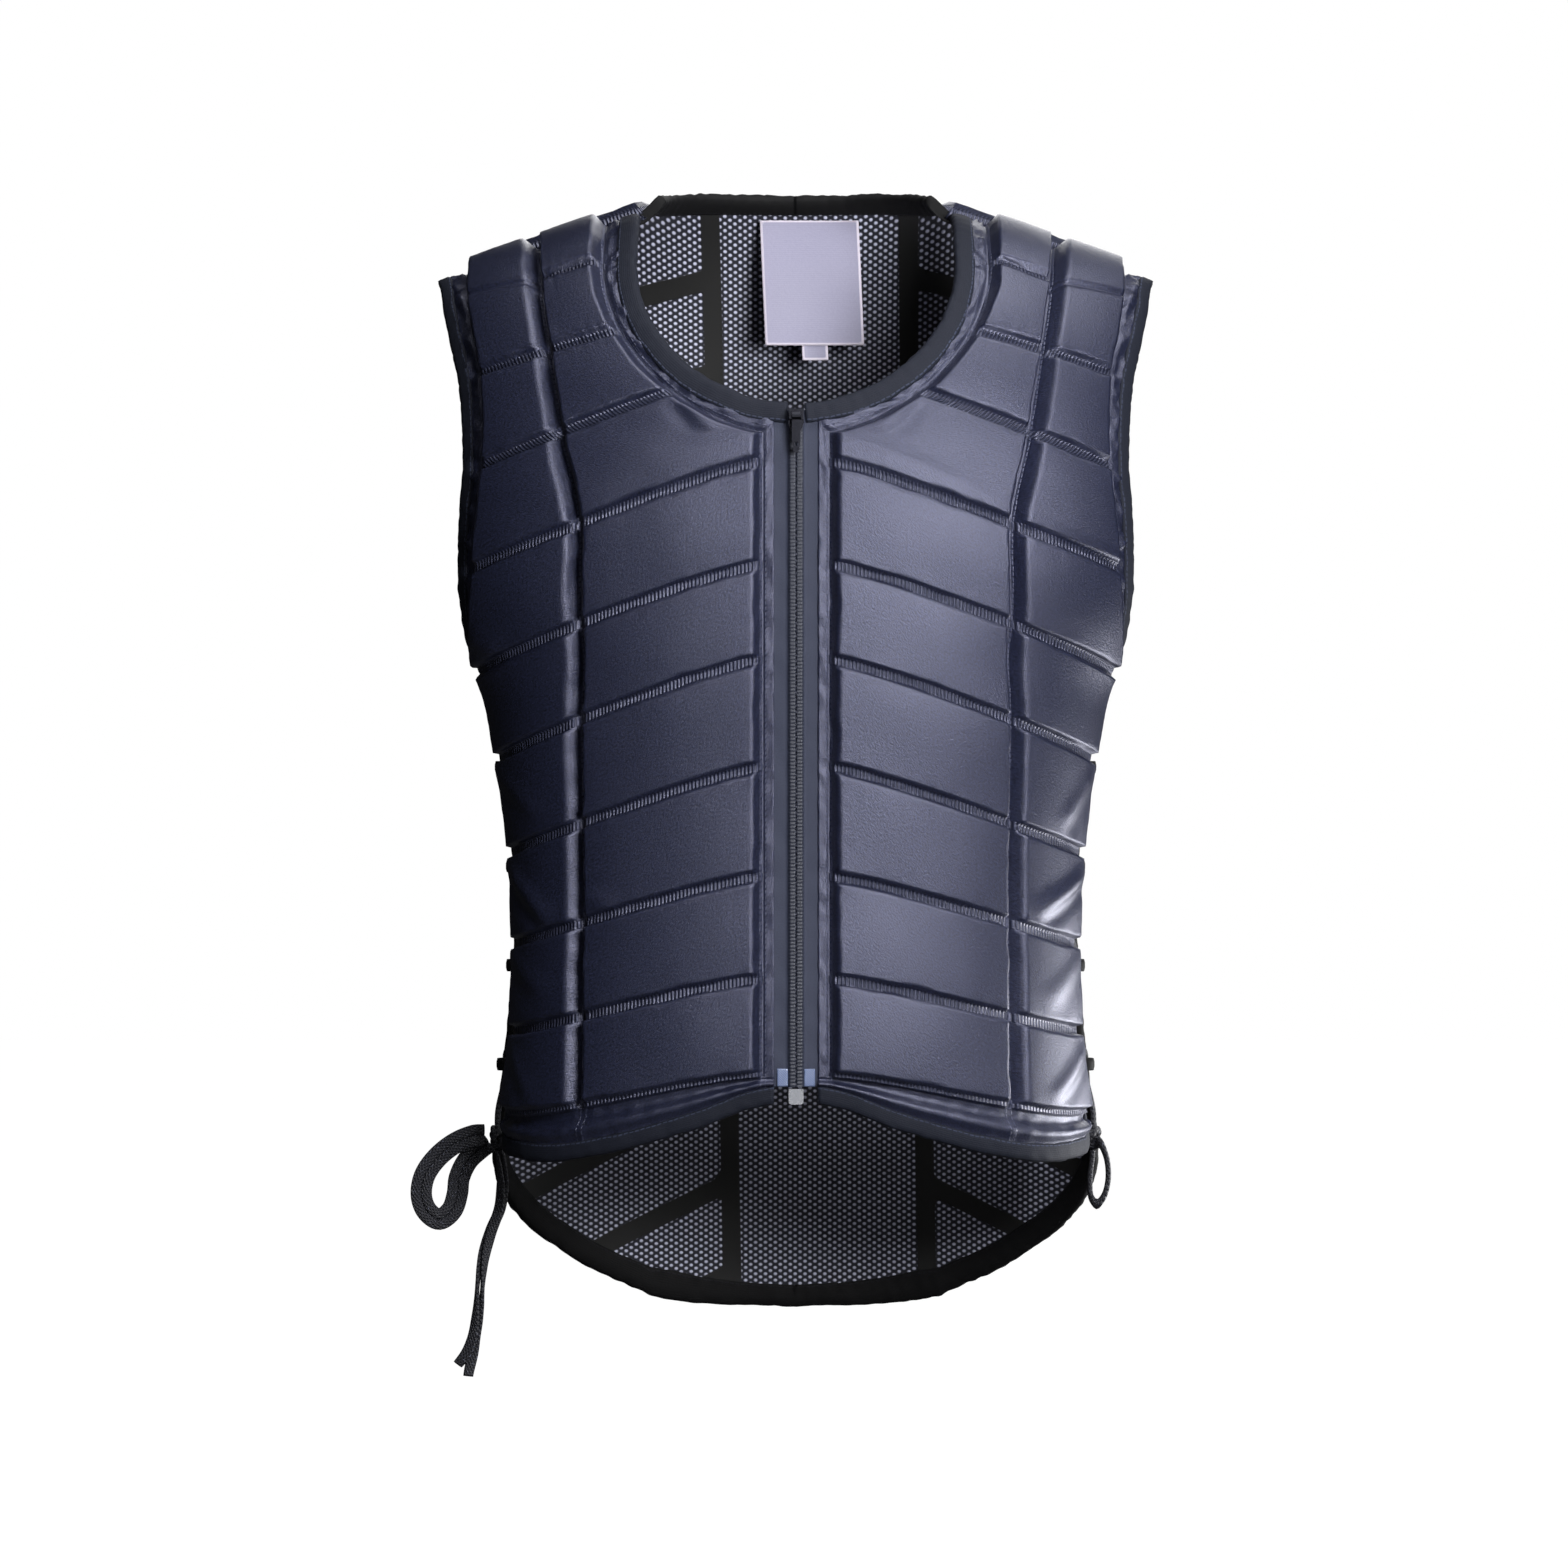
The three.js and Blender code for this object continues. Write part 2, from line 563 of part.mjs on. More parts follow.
const neckTurn = spotAt(BACK, neckHalfWidth + neckBinding, shoulderLine(BACK, neckHalfWidth + neckBinding)).turn;
const neckShare = (neckTurn - backLines.spine[0].turn) / (backLines.outer[0].turn - backLines.spine[0].turn);
const flankShare = 0.7;
const backStops = [0, 0.5, 1, 1.5, 2, 2.5, 3, 4, 4.5, 5, 6, 7, 8, 9, 10, 11, 12];
const backCross = [
  ['middle', 'spine', 0], ['middle', 'spine', 1], ['spine', 'outer', neckShare / 2], ['spine', 'outer', neckShare],
  ['spine', 'outer', flankShare], ['outer', 'edge', 0], ['outer', 'edge', 1],
];

// The back panel is one piece of body cloth.
function backPanel() {
  const whole = [
    ...backCross.slice(1).reverse().map((cross) => ({ cross, side: LEFT })),
    ...backCross.map((cross) => ({ cross, side: RIGHT })),
  ];
  const layer = (height) => backStops.map((at) => (
    whole.map(({ cross, side }) => onCloth(BACK, side, backSpot(cross, at), height))));
  return closedBody(layer(-clothWall), layer(0));
}

// The back blocks share one cloth cover: a thin web with a raised top between its seams. Seams run down beside the
// spine block and across the side blocks. Only a few cross the spine block.
function backBlocks() {
  const width = onCloth(BACK, RIGHT, backSpot(['spine', 'outer', 0], 6))
    .distanceTo(onCloth(BACK, RIGHT, backSpot(['spine', 'outer', 1], 6)));
  const sideShares = [channelTop / width, neckShare / 2, neckShare, flankShare, 1 - channelTop / width];
  const half = [
    { cross: ['middle', 'spine', 0], spine: true },
    { cross: ['middle', 'spine', 1 - channelTop / spineHalfWidth], spine: true },
    { cross: ['spine', 'outer', 0], seam: true },
    ...sideShares.map((share) => ({ cross: ['spine', 'outer', share] })),
    { cross: ['spine', 'outer', 1 - channelFloor / width], seam: true },
  ];
  const columns = [
    ...half.slice(1).reverse().map((column) => ({ ...column, side: LEFT })),
    ...half.map((column) => ({ ...column, side: RIGHT })),
  ];
  const lastRow = 11;
  const pitch = (row) => onCloth(BACK, RIGHT, backSpot(['spine', 'outer', 0.5], row))
    .distanceTo(onCloth(BACK, RIGHT, backSpot(['spine', 'outer', 0.5], row + 1)));
  const lines = [...Array(lastRow).keys()].flatMap((row) => {
    const seam = row === 0 ? { at: channelFloor / pitch(0), seam: row } : { at: row, seam: row };
    const middle = backStops.filter((at) => at > row && at < row + 1).map((at) => ({ at }));
    return [
      seam, { at: row + channelTop / pitch(row) }, ...middle, { at: row + 1 - channelTop / pitch(row) },
    ];
  }).concat({ at: lastRow - channelFloor / pitch(lastRow - 1), seam: lastRow });
  const raised = (line, column) => !column.seam
    && (line.seam === undefined || (column.spine && !spineBreaks.includes(line.seam)));
  const layer = (height) => lines.map((line) => columns.map((column) => (
    onCloth(BACK, column.side, backSpot(column.cross, line.at), height(raised(line, column))))));
  return closedBody(layer(() => seamGap), layer((top) => (top ? padHeight : gap + webWall)));
}

// Bindings: strips sewn along an edge of the cloth. A path is spots on one face; the strip reaches past it.
function edgeStrip(path, width, seam = seamGap) {
  const place = (face, side, spot, height) => onCloth(face, side, spot, height);
  const rows = path.map(({ face, side, spot, out }) => {
    const far = (reach) => {
      const { turning, rolling } = tangents(face, spot.turn, spot.roll);
      return {
        turn: spot.turn + (out.across * reach) / turning.length(),
        roll: Math.max(spot.roll + (out.down * reach) / rolling.length(), 0),
      };
    };
    const line = (reach, low, high) => [place(face, side, far(reach), low), place(face, side, far(reach), high)];
    const under = -clothWall - bindingProud;
    return [
      line(seam, under, bindingProud),
      line(width / 2, under, bindingProud + bindingCrown),
      line(width, under + bindingProud, bindingProud - 0.4),
    ];
  });
  return closedBody(rows.map((row) => row.map(([low]) => low)), rows.map((row) => row.map(([, high]) => high)));
}

// Which way is out from an edge, in millimetres across and down the cloth, square to the path through its spots.
function withOutward(face, side, spots, turnRight) {
  return spots.map((spot, index) => {
    const from = spots[Math.max(0, index - 1)];
    const to = spots[Math.min(spots.length - 1, index + 1)];
    const { turning, rolling } = tangents(face, spot.turn, spot.roll);
    const across = (to.turn - from.turn) * turning.length();
    const down = (to.roll - from.roll) * rolling.length();
    const length = Math.hypot(across, down) * (turnRight ? 1 : -1);
    return { face, side, spot, out: { across: -down / length, down: across / length } };
  });
}

const stopsOn = (line, stops) => stops.map((at) => onLine(line, at));
const within = (stops, low, high) => stops.filter((at) => at >= low && at <= high);

function neckBindingPath() {
  const zipEnd = necklineSpot(neckBinding, necklineAngle(neckBinding, { x: coilHalf + 1.5 }));
  const front = [zipEnd, ...stopsOn(frontLines.open, within(frontStops, 0, 3.8).reverse())];
  const back = backCross.slice(0, 4).reverse().map((cross) => backSpot(cross, 0));
  const half = (side) => [
    ...withOutward(FRONT, side, front, false), ...withOutward(BACK, side, back, true).slice(1),
  ];
  return [...half(LEFT), ...half(RIGHT).reverse().slice(1)];
}

function armBindingPath(side) {
  const front = stopsOn(frontLines.edge, within(frontStops, 0, 4.7).reverse());
  const back = stopsOn(backLines.edge, within(backStops, 0, 4));
  return [
    ...withOutward(FRONT, side, front, true), ...withOutward(BACK, side, back, false).slice(1),
  ];
}

function frontBindingPath(side) {
  const hem = frontCross.map((cross) => frontSpot(cross, 11));
  const sideEdge = stopsOn(frontLines.edge, within(frontStops, 5, 10).reverse());
  return withOutward(FRONT, side, [...hem, ...sideEdge], true);
}

function backBindingPath() {
  const tail = backCross.map((cross) => backSpot(cross, 12));
  const sideEdge = within(backStops, 5, 11).reverse().map((at) => backSpot(['outer', 'edge', 1], at));
  const half = (side) => withOutward(BACK, side, [...tail, ...sideEdge], true);
  return [...half(LEFT).slice(1).reverse(), ...half(RIGHT)];
}

// Side lacing: a ring on each edge for every crossing, and one lace that runs down through them all.
function edgeHeights() {
  const step = (laceBottom - laceTop) / (2 * eyesPerEdge - 1);
  return [...Array(2 * eyesPerEdge).keys()].map((index) => ({
    face: index % 2 ? BACK : FRONT, z: -laceTop - index * step,
  }));
}

function eyeCentre({ face, z }, side) {
  const [degrees, width] = face === FRONT ? [frontSideTurn, frontBinding] : [backSideTurn, backBinding];
  const reach = width + eyeRadius - 0.9;
  const spot = moved(face, spotOnTurn(face, degrees, z), reach);
  const centre = onCloth(face, side, spot, -clothWall / 2 + 0.3);
  return centre.setZ(z);
}

const ring = (radius, x, y, count) => new THREE.EllipseCurve(x, y, radius, radius).getPoints(count).slice(0, count);

function eyeRing(centre) {
  const shape = new THREE.Shape(ring(eyeRadius, 0, 0, 6));
  shape.holes.push(new THREE.Path(ring(eyeRadius - eyeWall, 0, 0, 6)));
  return new THREE.ExtrudeGeometry(shape, { depth: eyeHeight, bevelEnabled: false })
    .translate(centre.x, centre.y, centre.z - eyeHeight / 2);
}

const eyesOn = (face, side) => edgeHeights().filter((eye) => eye.face === face)
  .map((eye) => eyeRing(eyeCentre(eye, side)));

function cordTube(points, radius, steps, facets = 8) {
  return new THREE.ExtrudeGeometry(new THREE.Shape(ring(radius, 0, 0, facets)), {
    steps, bevelEnabled: false, extrudePath: new THREE.CatmullRomCurve3(points, false, 'centripetal'),
  });
}

const knotCentre = (side) => new THREE.Vector3(side * knotOut, knotBack, -knotDrop);

function sideLace(side) {
  const reach = new THREE.Vector3(0, 0, eyeHeight / 2 + 2.5);
  const stops = edgeHeights().flatMap((eye) => {
    const centre = eyeCentre(eye, side);
    return [centre.clone().add(reach), centre, centre.clone().sub(reach)];
  });
  const knot = knotCentre(side);
  const tube = cordTube([...stops, knot.clone().add(new THREE.Vector3(0, 4, 14)), knot], laceRadius, 30);
  const lump = new THREE.SphereGeometry(knotRadius, 8, 6).translate(knot.x, knot.y, knot.z);
  return joined([tube, lump]);
}

// Zip: each half is a tape with its coil along the meeting edge.
const zipHeight = (x, z) => spotAt(FRONT, x, z);

function zipHalf(side) {
  const columns = [
    { x: gap / 2, height: coilHeight, top: neckFrontDrop + 2 },
    { x: coilHalf - gap, height: coilHeight, top: neckFrontDrop + 2 },
    { x: coilHalf, height: 0, top: neckFrontDrop + neckBinding + 1 },
    { x: zipTapeHalf, height: 0, top: neckFrontDrop + neckBinding + 1 },
  ];
  const bottom = frontLength - boxLength;
  const rows = 10;
  const layer = (lift) => [...Array(rows + 1).keys()].map((row) => columns.map((column) => {
    const z = -THREE.MathUtils.lerp(column.top, bottom, (row / rows) ** 1.2);
    return onCloth(FRONT, side, zipHeight(column.x, z), lift(column));
  }));
  return closedBody(layer(() => -zipTapeWall), layer((column) => column.height));
}

// A plate on the zip: an outline with its depth along the view, laid against the cloth at a height.
function plate(outline, depth, holes = []) {
  const shape = new THREE.Shape(outline);
  holes.forEach((hole) => shape.holes.push(new THREE.Path(hole)));
  return new THREE.ExtrudeGeometry(shape, { depth, bevelEnabled: false }).rotateX(HALF_PI);
}

const sliderTop = -neckFrontDrop - 4;
const sliderSpot = onCloth(FRONT, RIGHT, zipHeight(0, sliderTop - sliderLength / 2), coilHeight + gap);
const pinPlace = new THREE.Vector3(0, sliderSpot.y - sliderHeight - pullerBarrel - gap, sliderTop - 4);

function zipSlider() {
  const half = sliderWidth / 2;
  const low = sliderLength / 2;
  const body = plate([
    new THREE.Vector2(-half, low), new THREE.Vector2(half, low), new THREE.Vector2(half, -low * 0.3),
    new THREE.Vector2(half * 0.62, -low), new THREE.Vector2(-half * 0.62, -low), new THREE.Vector2(-half, -low * 0.3),
  ], sliderHeight).translate(0, sliderSpot.y, sliderSpot.z);
  const ear = (x) => new THREE.BoxGeometry(1.1, 4.9, 3.4)
    .translate(x, pinPlace.y + 1.45, pinPlace.z);
  const pin = new THREE.CylinderGeometry(pinRadius, pinRadius, pullerWidth, 8).rotateZ(HALF_PI)
    .translate(0, pinPlace.y, pinPlace.z);
  const earX = pullerWidth / 2 + gap;
  return joined([body, ear(-earX), ear(earX), pin]);
}

function zipPuller() {
  const half = pullerWidth / 2 - 0.5;
  const outline = [
    new THREE.Vector2(-half, pullerBore + 0.4), new THREE.Vector2(half, pullerBore + 0.4),
    new THREE.Vector2(half, -pullerLength * 0.62), new THREE.Vector2(half * 0.6, pullerBore - pullerLength),
    new THREE.Vector2(-half * 0.6, pullerBore - pullerLength), new THREE.Vector2(-half, -pullerLength * 0.62),
  ];
  const tab = plate(outline, pullerWall, [ring(half * 0.5, 0, -pullerLength * 0.72, 8)])
    .translate(0, pinPlace.y + pullerWall / 2, pinPlace.z);
  const barrel = new THREE.CylinderGeometry(pullerBarrel, pullerBarrel, 2 * half, 10).rotateZ(HALF_PI)
    .translate(0, pinPlace.y, pinPlace.z);
  const bore = new THREE.CylinderGeometry(pullerBore, pullerBore, 4 * half, 10).rotateZ(HALF_PI)
    .translate(0, pinPlace.y, pinPlace.z);
  const whole = toSolid(tab).add(toSolid(barrel)).subtract(toSolid(bore)).getMesh();
  const geometry = new THREE.BufferGeometry();
  geometry.setAttribute('position', new THREE.BufferAttribute(whole.vertProperties, 3));
  geometry.setIndex(new THREE.BufferAttribute(whole.triVerts, 1));
  return geometry;
}

function zipBox() {
  const half = boxWidth / 2;
  const z = -frontLength + boxLength / 2 - gap;
  const low = onCloth(FRONT, RIGHT, zipHeight(0, z), -zipTapeWall);
  const high = boxLength / 2 - gap;
  return plate([
    new THREE.Vector2(-half, high), new THREE.Vector2(half, high), new THREE.Vector2(half, -high + 1),
    new THREE.Vector2(half - 1, -high), new THREE.Vector2(-half + 1, -high), new THREE.Vector2(-half, -high + 1),
  ], zipTapeWall + coilHeight + 1).translate(0, low.y, z);
}

// Neck label: a blank cloth tag that hangs from the back neck, with a short tab under it.
function neckLabel() {
  const neckTop = shoulderLine(BACK, neckHalfWidth + neckBinding) + neckRiseAtCloth - 2;
  const hang = (x, down, back) => {
    const seat = onCloth(BACK, RIGHT, spotAt(BACK, Math.abs(x + labelOut), neckTop), -clothWall - labelAway);
    return new THREE.Vector3(x + labelOut, seat.y - back, seat.z - down);
  };
  const piece = (halfWidth, top, bottom) => {
    const layer = (back) => [top, bottom].map((down) => (
      [-1, 0, 1].map((share) => hang(share * halfWidth, down, back))));
    return closedBody(layer(0), layer(labelWall));
  };
  return joined([
    piece(labelWidth / 2, 0, labelHeight), piece(tabWidth / 2, labelHeight - 1, labelHeight + tabHeight),
  ]);
}

sides.forEach(({ side, name }) => addPiece(`front_panel_${name}`, frontPanel(side), cloth));
addPiece('back_panel', backPanel(), cloth);
sides.forEach(({ side, name }) => frontBlocks(side, name));
addPiece('back_pads', backBlocks(), foamCloth);
addPiece('neck_binding', edgeStrip(neckBindingPath(), neckBinding, neckSeamGap), bindingCloth);
sides.forEach(({ side, name }) => {
  addPiece(`armhole_binding_${name}`, edgeStrip(armBindingPath(side), armBinding), bindingCloth);
  const frontStrip = edgeStrip(frontBindingPath(side), frontBinding);
  addPiece(`front_binding_${name}`, joined([frontStrip, ...eyesOn(FRONT, side)]), bindingCloth);
});
const tailStrip = edgeStrip(backBindingPath(), backBinding);
addPiece('back_binding', joined([tailStrip, ...eyesOn(BACK, LEFT), ...eyesOn(BACK, RIGHT)]), blackBinding);
sides.forEach(({ side, name }) => addPiece(`zip_half_${name}`, zipHalf(side), zipTape));
addPiece('zip_slider', zipSlider(), darkMetal);
addPiece('zip_puller', zipPuller(), darkMetal);
addPiece('zip_box', zipBox(), brightMetal);
addPiece('neck_label', neckLabel(), labelCloth);
sides.forEach(({ side, name }) => addPiece(`side_lace_${name}`, sideLace(side), laceBraid));
const route = (points, side) => points.map(([x, y, z]) => new THREE.Vector3(x, y, z).add(knotCentre(side)));
addPiece('lace_loop_left', cordTube(route(laceLoopLeft, LEFT), lacePairRadius, 20), laceBraid);
addPiece('lace_ends_left', cordTube(route(laceEndsLeft, LEFT), lacePairRadius, 14), laceBraid);
addPiece('lace_loop_right', cordTube(route(laceLoopRight, RIGHT), laceRadius, 18), laceBraid);

export default vest;
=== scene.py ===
"""Equestrian body protector: the finish of every surface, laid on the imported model.

Lengths are in millimetres until a mesh is made, which turns them to metres. The vest's cloth is one shell
with two angles: "turn" goes round the body from the middle of its face, and "roll" goes down from the
shoulder seam. Every piece is worked out on that shell, as its solid is.
"""
import math

import bpy
import numpy as np
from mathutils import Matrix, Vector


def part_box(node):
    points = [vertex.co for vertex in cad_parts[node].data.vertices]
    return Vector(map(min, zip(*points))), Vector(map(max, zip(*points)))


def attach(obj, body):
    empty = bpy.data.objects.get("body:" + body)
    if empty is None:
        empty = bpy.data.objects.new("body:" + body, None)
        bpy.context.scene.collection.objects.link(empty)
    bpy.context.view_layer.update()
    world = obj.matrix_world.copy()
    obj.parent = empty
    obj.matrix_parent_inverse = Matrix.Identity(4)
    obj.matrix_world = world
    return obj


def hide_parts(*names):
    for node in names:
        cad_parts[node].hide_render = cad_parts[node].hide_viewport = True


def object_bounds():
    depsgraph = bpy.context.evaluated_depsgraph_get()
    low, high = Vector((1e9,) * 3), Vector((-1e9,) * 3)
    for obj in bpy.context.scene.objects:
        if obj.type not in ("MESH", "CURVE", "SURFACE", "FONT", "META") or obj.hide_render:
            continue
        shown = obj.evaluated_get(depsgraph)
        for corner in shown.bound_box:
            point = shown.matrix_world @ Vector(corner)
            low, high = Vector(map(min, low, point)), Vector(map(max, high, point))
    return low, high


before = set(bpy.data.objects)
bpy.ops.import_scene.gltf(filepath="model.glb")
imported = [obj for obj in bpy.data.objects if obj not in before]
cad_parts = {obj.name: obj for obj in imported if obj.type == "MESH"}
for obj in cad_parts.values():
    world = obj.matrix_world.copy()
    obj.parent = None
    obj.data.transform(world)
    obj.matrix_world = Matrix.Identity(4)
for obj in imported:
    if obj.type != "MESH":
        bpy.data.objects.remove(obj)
cad_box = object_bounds()

MM = 0.001
FRONT, BACK, LEFT, RIGHT = -1, 1, -1, 1
HALF_PI = math.pi / 2
SIDES = ((LEFT, "left"), (RIGHT, "right"))

# Body shell
TORSO_HALF_WIDTH = 206
TORSO_HALF_DEPTH = 104
SQUARENESS = 2.5
SHOULDER_ROLL = 160
SHOULDER_SLOPE = 0.353
SHOULDER_SOFTNESS = 40
NAPE = 26

# Lengths below the neck points, and the openings
FRONT_LENGTH = 492
BACK_LENGTH = 627
NECK_HALF_WIDTH = 87
NECK_FRONT_DROP = 114
NECK_BACK_RISE = 22
NECK_CURVE_START = 35
ARMHOLE_DROP = 215
FRONT_SIDE_TURN = 78.4
BACK_SIDE_TURN = 73.5

# Cloth, foam and trim
CLOTH_WALL = 3
PAD_HEIGHT = 9
ROW_CHANNEL_HALF = 2.4
ROW_CHANNEL_FLOOR = 4.6
ROW_WALL_SLOPE = 5
SEAM_CHANNEL_HALF = 1.3
CREST_SOFTNESS = 1.5
RIB_PITCH = 2.1
NECK_BINDING = 10
ARM_BINDING = 8.5
FRONT_BINDING = 9
BACK_BINDING = 12
NECK_FACING = 8
ARM_FACING = 8
TAIL_FACING = 7
SPINE_HALF_WIDTH = 55
LINING_TAPE_STEP = 52.7

# How far out, as shares of the torso's half width, the hem and the tail run before their round corners
HEM_REACH = 0.78
TAIL_REACH = 0.79
TAIL_BINDING_REACH = 0.76

# The running stitch beside the seams and on the strip beside the zip
SEAM_STITCH = 1.7
FACING_STITCH = 4.2
# The distance written where no seam or tape is near
NONE_NEAR = 99.0

# Zip
ZIP_TAPE_HALF = 11.5
ZIP_FACING = 5.5
ZIP_EDGE = ZIP_TAPE_HALF + 0.35
COIL_HALF = 4
COIL_HEIGHT = 2.6
COIL_BODY = 1.6
COIL_PITCH = 1.9
ZIP_BOTTOM = 483

# Laces
EYE_RADIUS = 5.2
EYE_WALL = 1.3
EYE_HEIGHT = 7
EYE_COUNT = 8
LACE_TOP = 0.573 * FRONT_LENGTH
LACE_BOTTOM = 0.9715 * FRONT_LENGTH
LACE_WIDTH = 6.2
LACE_THICKNESS = 2.6
BOW_STRAND_OFFSET = 2.95
BOW_END_TWIST = 5.2
KNOT_PLACE = (TORSO_HALF_WIDTH - 38, 6, -FRONT_LENGTH - 26)

# Studio lights: azimuth to the right of the front and elevation in degrees, distance and size in metres, and
# watts. The middle that they face is at the height of LIGHT_MIDDLE, in metres.
LIGHT_MIDDLE = -0.3
SURROUND = 0.02
LIGHTS = (
    ("key", 20, 13, 0.95, 0.3, 14.5),
    ("fill", -26, 28, 2.2, 1.2, 1.4),
    ("low_fill", -4, -30, 1.5, 0.8, 3.6),
    ("overhead", 4, 72, 2.0, 1.0, 19),
    ("shoulders", 56, 62, 1.8, 0.8, 24),
    ("rim", 98, -28, 0.52, 0.15, 3),
    ("back", 168, 24, 2.4, 1.6, 30),
)


def columns(names, rows):
    """A table as one array for each named column."""
    return dict(zip(names.split(), np.array(rows, float).T))


# Half widths and depths of the shell, as shares, at drops that are shares of the front's length.
SECTIONS = columns("drop front back depth", [
    (0, 1, 1, 1),
    (0.122, 1, 1, 1),
    (0.244, 0.99, 0.99, 1),
    (0.325, 0.966, 0.966, 1),
    (0.386, 0.927, 0.93, 1),
    (0.437, 0.879, 0.885, 0.99),
    (0.494, 0.822, 0.838, 0.98),
    (0.557, 0.797, 0.815, 0.965),
    (0.665, 0.762, 0.782, 0.935),
    (0.78, 0.748, 0.773, 0.925),
    (0.882, 0.754, 0.793, 0.945),
    (0.949, 0.771, 0.812, 0.965),
    (1.016, 0.8, 0.835, 0.98),
    (1.3, 0.82, 0.84, 1),
])

# The armhole edge: its width share of the shell at a share of the armhole's drop.
ARMHOLE_EDGE = columns("drop width", [
    (0, 0.945),
    (0.14, 0.908),
    (0.3, 0.873),
    (0.5, 0.864),
    (0.68, 0.89),
    (0.85, 0.935),
    (0.94, 0.968),
])

# The channels between the front blocks, as shares of the front's length, and where the long seam lies.
FRONT_ROWS = columns("row inner princess outer seam", [
    (0, 0, 0, 0, 0.697),
    (1, 0.069, 0.093, 0.11, 0.675),
    (2, 0.152, 0.173, 0.201, 0.643),
    (3, 0.22, 0.264, 0.303, 0.607),
    (4, 0.297, 0.364, 0.413, 0.56),
    (5, 0.409, 0.472, 0.52, 0.558),
    (6, 0.512, 0.578, 0.622, 0.557),
    (7, 0.63, 0.693, 0.728, 0.553),
    (8, 0.751, 0.803, 0.831, 0.551),
    (9, 0.864, 0.907, 0.929, 0.553),
    (10, 0.97, 1.007, 1.022, 0.558),
])
FRONT_HEM = columns("width height", [
    (0, 0.981),
    (0.1, 0.985),
    (0.29, 1.014),
    (0.51, 1.04),
    (0.66, 1.05),
    (0.8, 1.045),
])
BACK_ROWS = columns("row spine side", [
    (1, 0.038, 0.088),
    (2, 0.107, 0.158),
    (3, 0.193, 0.246),
    (4, 0.281, 0.334),
    (5, 0.367, 0.423),
    (6, 0.455, 0.511),
    (7, 0.541, 0.598),
    (8, 0.627, 0.684),
    (9, 0.715, 0.768),
    (10, 0.801, 0.838),
])
BACK_TAIL = columns("width height", [
    (0, 0.98),
    (0.25, 0.974),
    (0.51, 0.948),
    (0.7, 0.906),
    (0.8, 0.87),
])
SPINE_BREAKS = (0, 3, 6, 9, 11)

# Folds that pull across single blocks. Places are shares of the block: across from the zip side and down
# from its top.
FOLDS = columns("side row block from_across from_down to_across to_down height width", [
    (LEFT, 7, 1, 0.95, 0.05, 0.35, 0.8, 0.9, 5),
    (LEFT, 8, 1, 0.9, 0.1, 0.25, 0.95, 1.9, 5),
    (LEFT, 9, 1, 0.95, 0.05, 0.3, 0.7, 0.9, 6),
    (LEFT, 10, 1, 0.85, 0.1, 0.4, 0.9, 0.8, 5),
    (LEFT, 5, 1, 0.95, 0.6, 0.55, 0.95, 1.1, 5),
    (RIGHT, 7, 1, 0.9, 0.1, 0.45, 0.9, 1.5, 5),
    (RIGHT, 8, 1, 0.95, 0.15, 0.2, 0.85, 2.6, 5),
    (RIGHT, 9, 1, 0.9, 0.1, 0.3, 0.8, 1.1, 6),
    (RIGHT, 10, 1, 0.9, 0.15, 0.3, 0.9, 1.8, 5),
    (LEFT, 8, 0, 0.98, 0.7, 0.8, 0.98, 1, 5),
    (RIGHT, 4, 0, 0.03, 0.1, 0.16, 0.6, 1.3, 4),
    (LEFT, 4, 0, 0.03, 0.1, 0.16, 0.6, 1.3, 4),
])

# The free laces, as points down their middle, in the vest's own directions from the knot that they leave.
LACE_LOOP_LEFT = (
    (-7.4, -2.8, 0.8), (-13.5, -4.5, 0.5), (-24, -3.5, -4), (-34, -2, -12), (-41, -2, -22),
    (-43, -2, -33), (-40, -2, -42), (-33, -1, -47), (-26, 0, -42), (-23, 2, -33), (-22, 4, -24),
    (-17.5, 6.5, -14.5), (-10, 6.2, -7.4), (-5.5, 3.5, -4.1),
)
LACE_ENDS_LEFT = (
    (1.2, 0, -7.9), (2.2, 1, -17), (2.5, 3, -28), (1, 3, -41), (-4, 2, -54), (-8, 2, -68), (-10, 2, -83),
    (-11, 2, -97), (-13, 2, -111), (-16, 2, -123), (-21, 2, -134),
)
LACE_LOOP_RIGHT = (
    (2.4, -7.1, -2.4), (4.3, -11.5, -5), (6.8, -14, -13), (7.2, -15.5, -23), (5, -16, -32),
    (1, -14.5, -37), (-2, -11, -33.5), (-2.4, -7, -26), (-1.5, -3, -18), (-0.7, -1, -13),
    (-0.4, -0.5, -7.9),
)


def along(table, by, key, at):
    """A cubic through the table's rows: each slope is that of the chord between the row's two
    neighbours."""
    x, y = table[by], table[key]
    at = np.clip(at, x[0], x[-1])
    b = np.clip(np.searchsorted(x, at - 1e-9), 1, len(x) - 1)
    a = b - 1
    before, after = np.maximum(a - 1, 0), np.minimum(b + 1, len(x) - 1)
    span = x[b] - x[a]
    s = (at - x[a]) / span
    start = (y[b] - y[before]) / (x[b] - x[before]) * span
    end = (y[after] - y[a]) / (x[after] - x[a]) * span
    return ((2 * s**3 - 3 * s**2 + 1) * y[a] + (s**3 - 2 * s**2 + s) * start
            + (3 * s**2 - 2 * s**3) * y[b] + (s**3 - s**2) * end)


def shoulder_line(face, x):
    """The shoulder seam's height: it falls outwards as a softened cone, and the back also rises to the
    nape."""
    fall = np.hypot(NECK_HALF_WIDTH, SHOULDER_SOFTNESS) - np.hypot(x, SHOULDER_SOFTNESS)
    nape = np.maximum(0, 1 - np.abs(x / NECK_HALF_WIDTH) ** 4) ** 1.5
    return SHOULDER_SLOPE * fall + (NAPE * nape if face == BACK else 0)


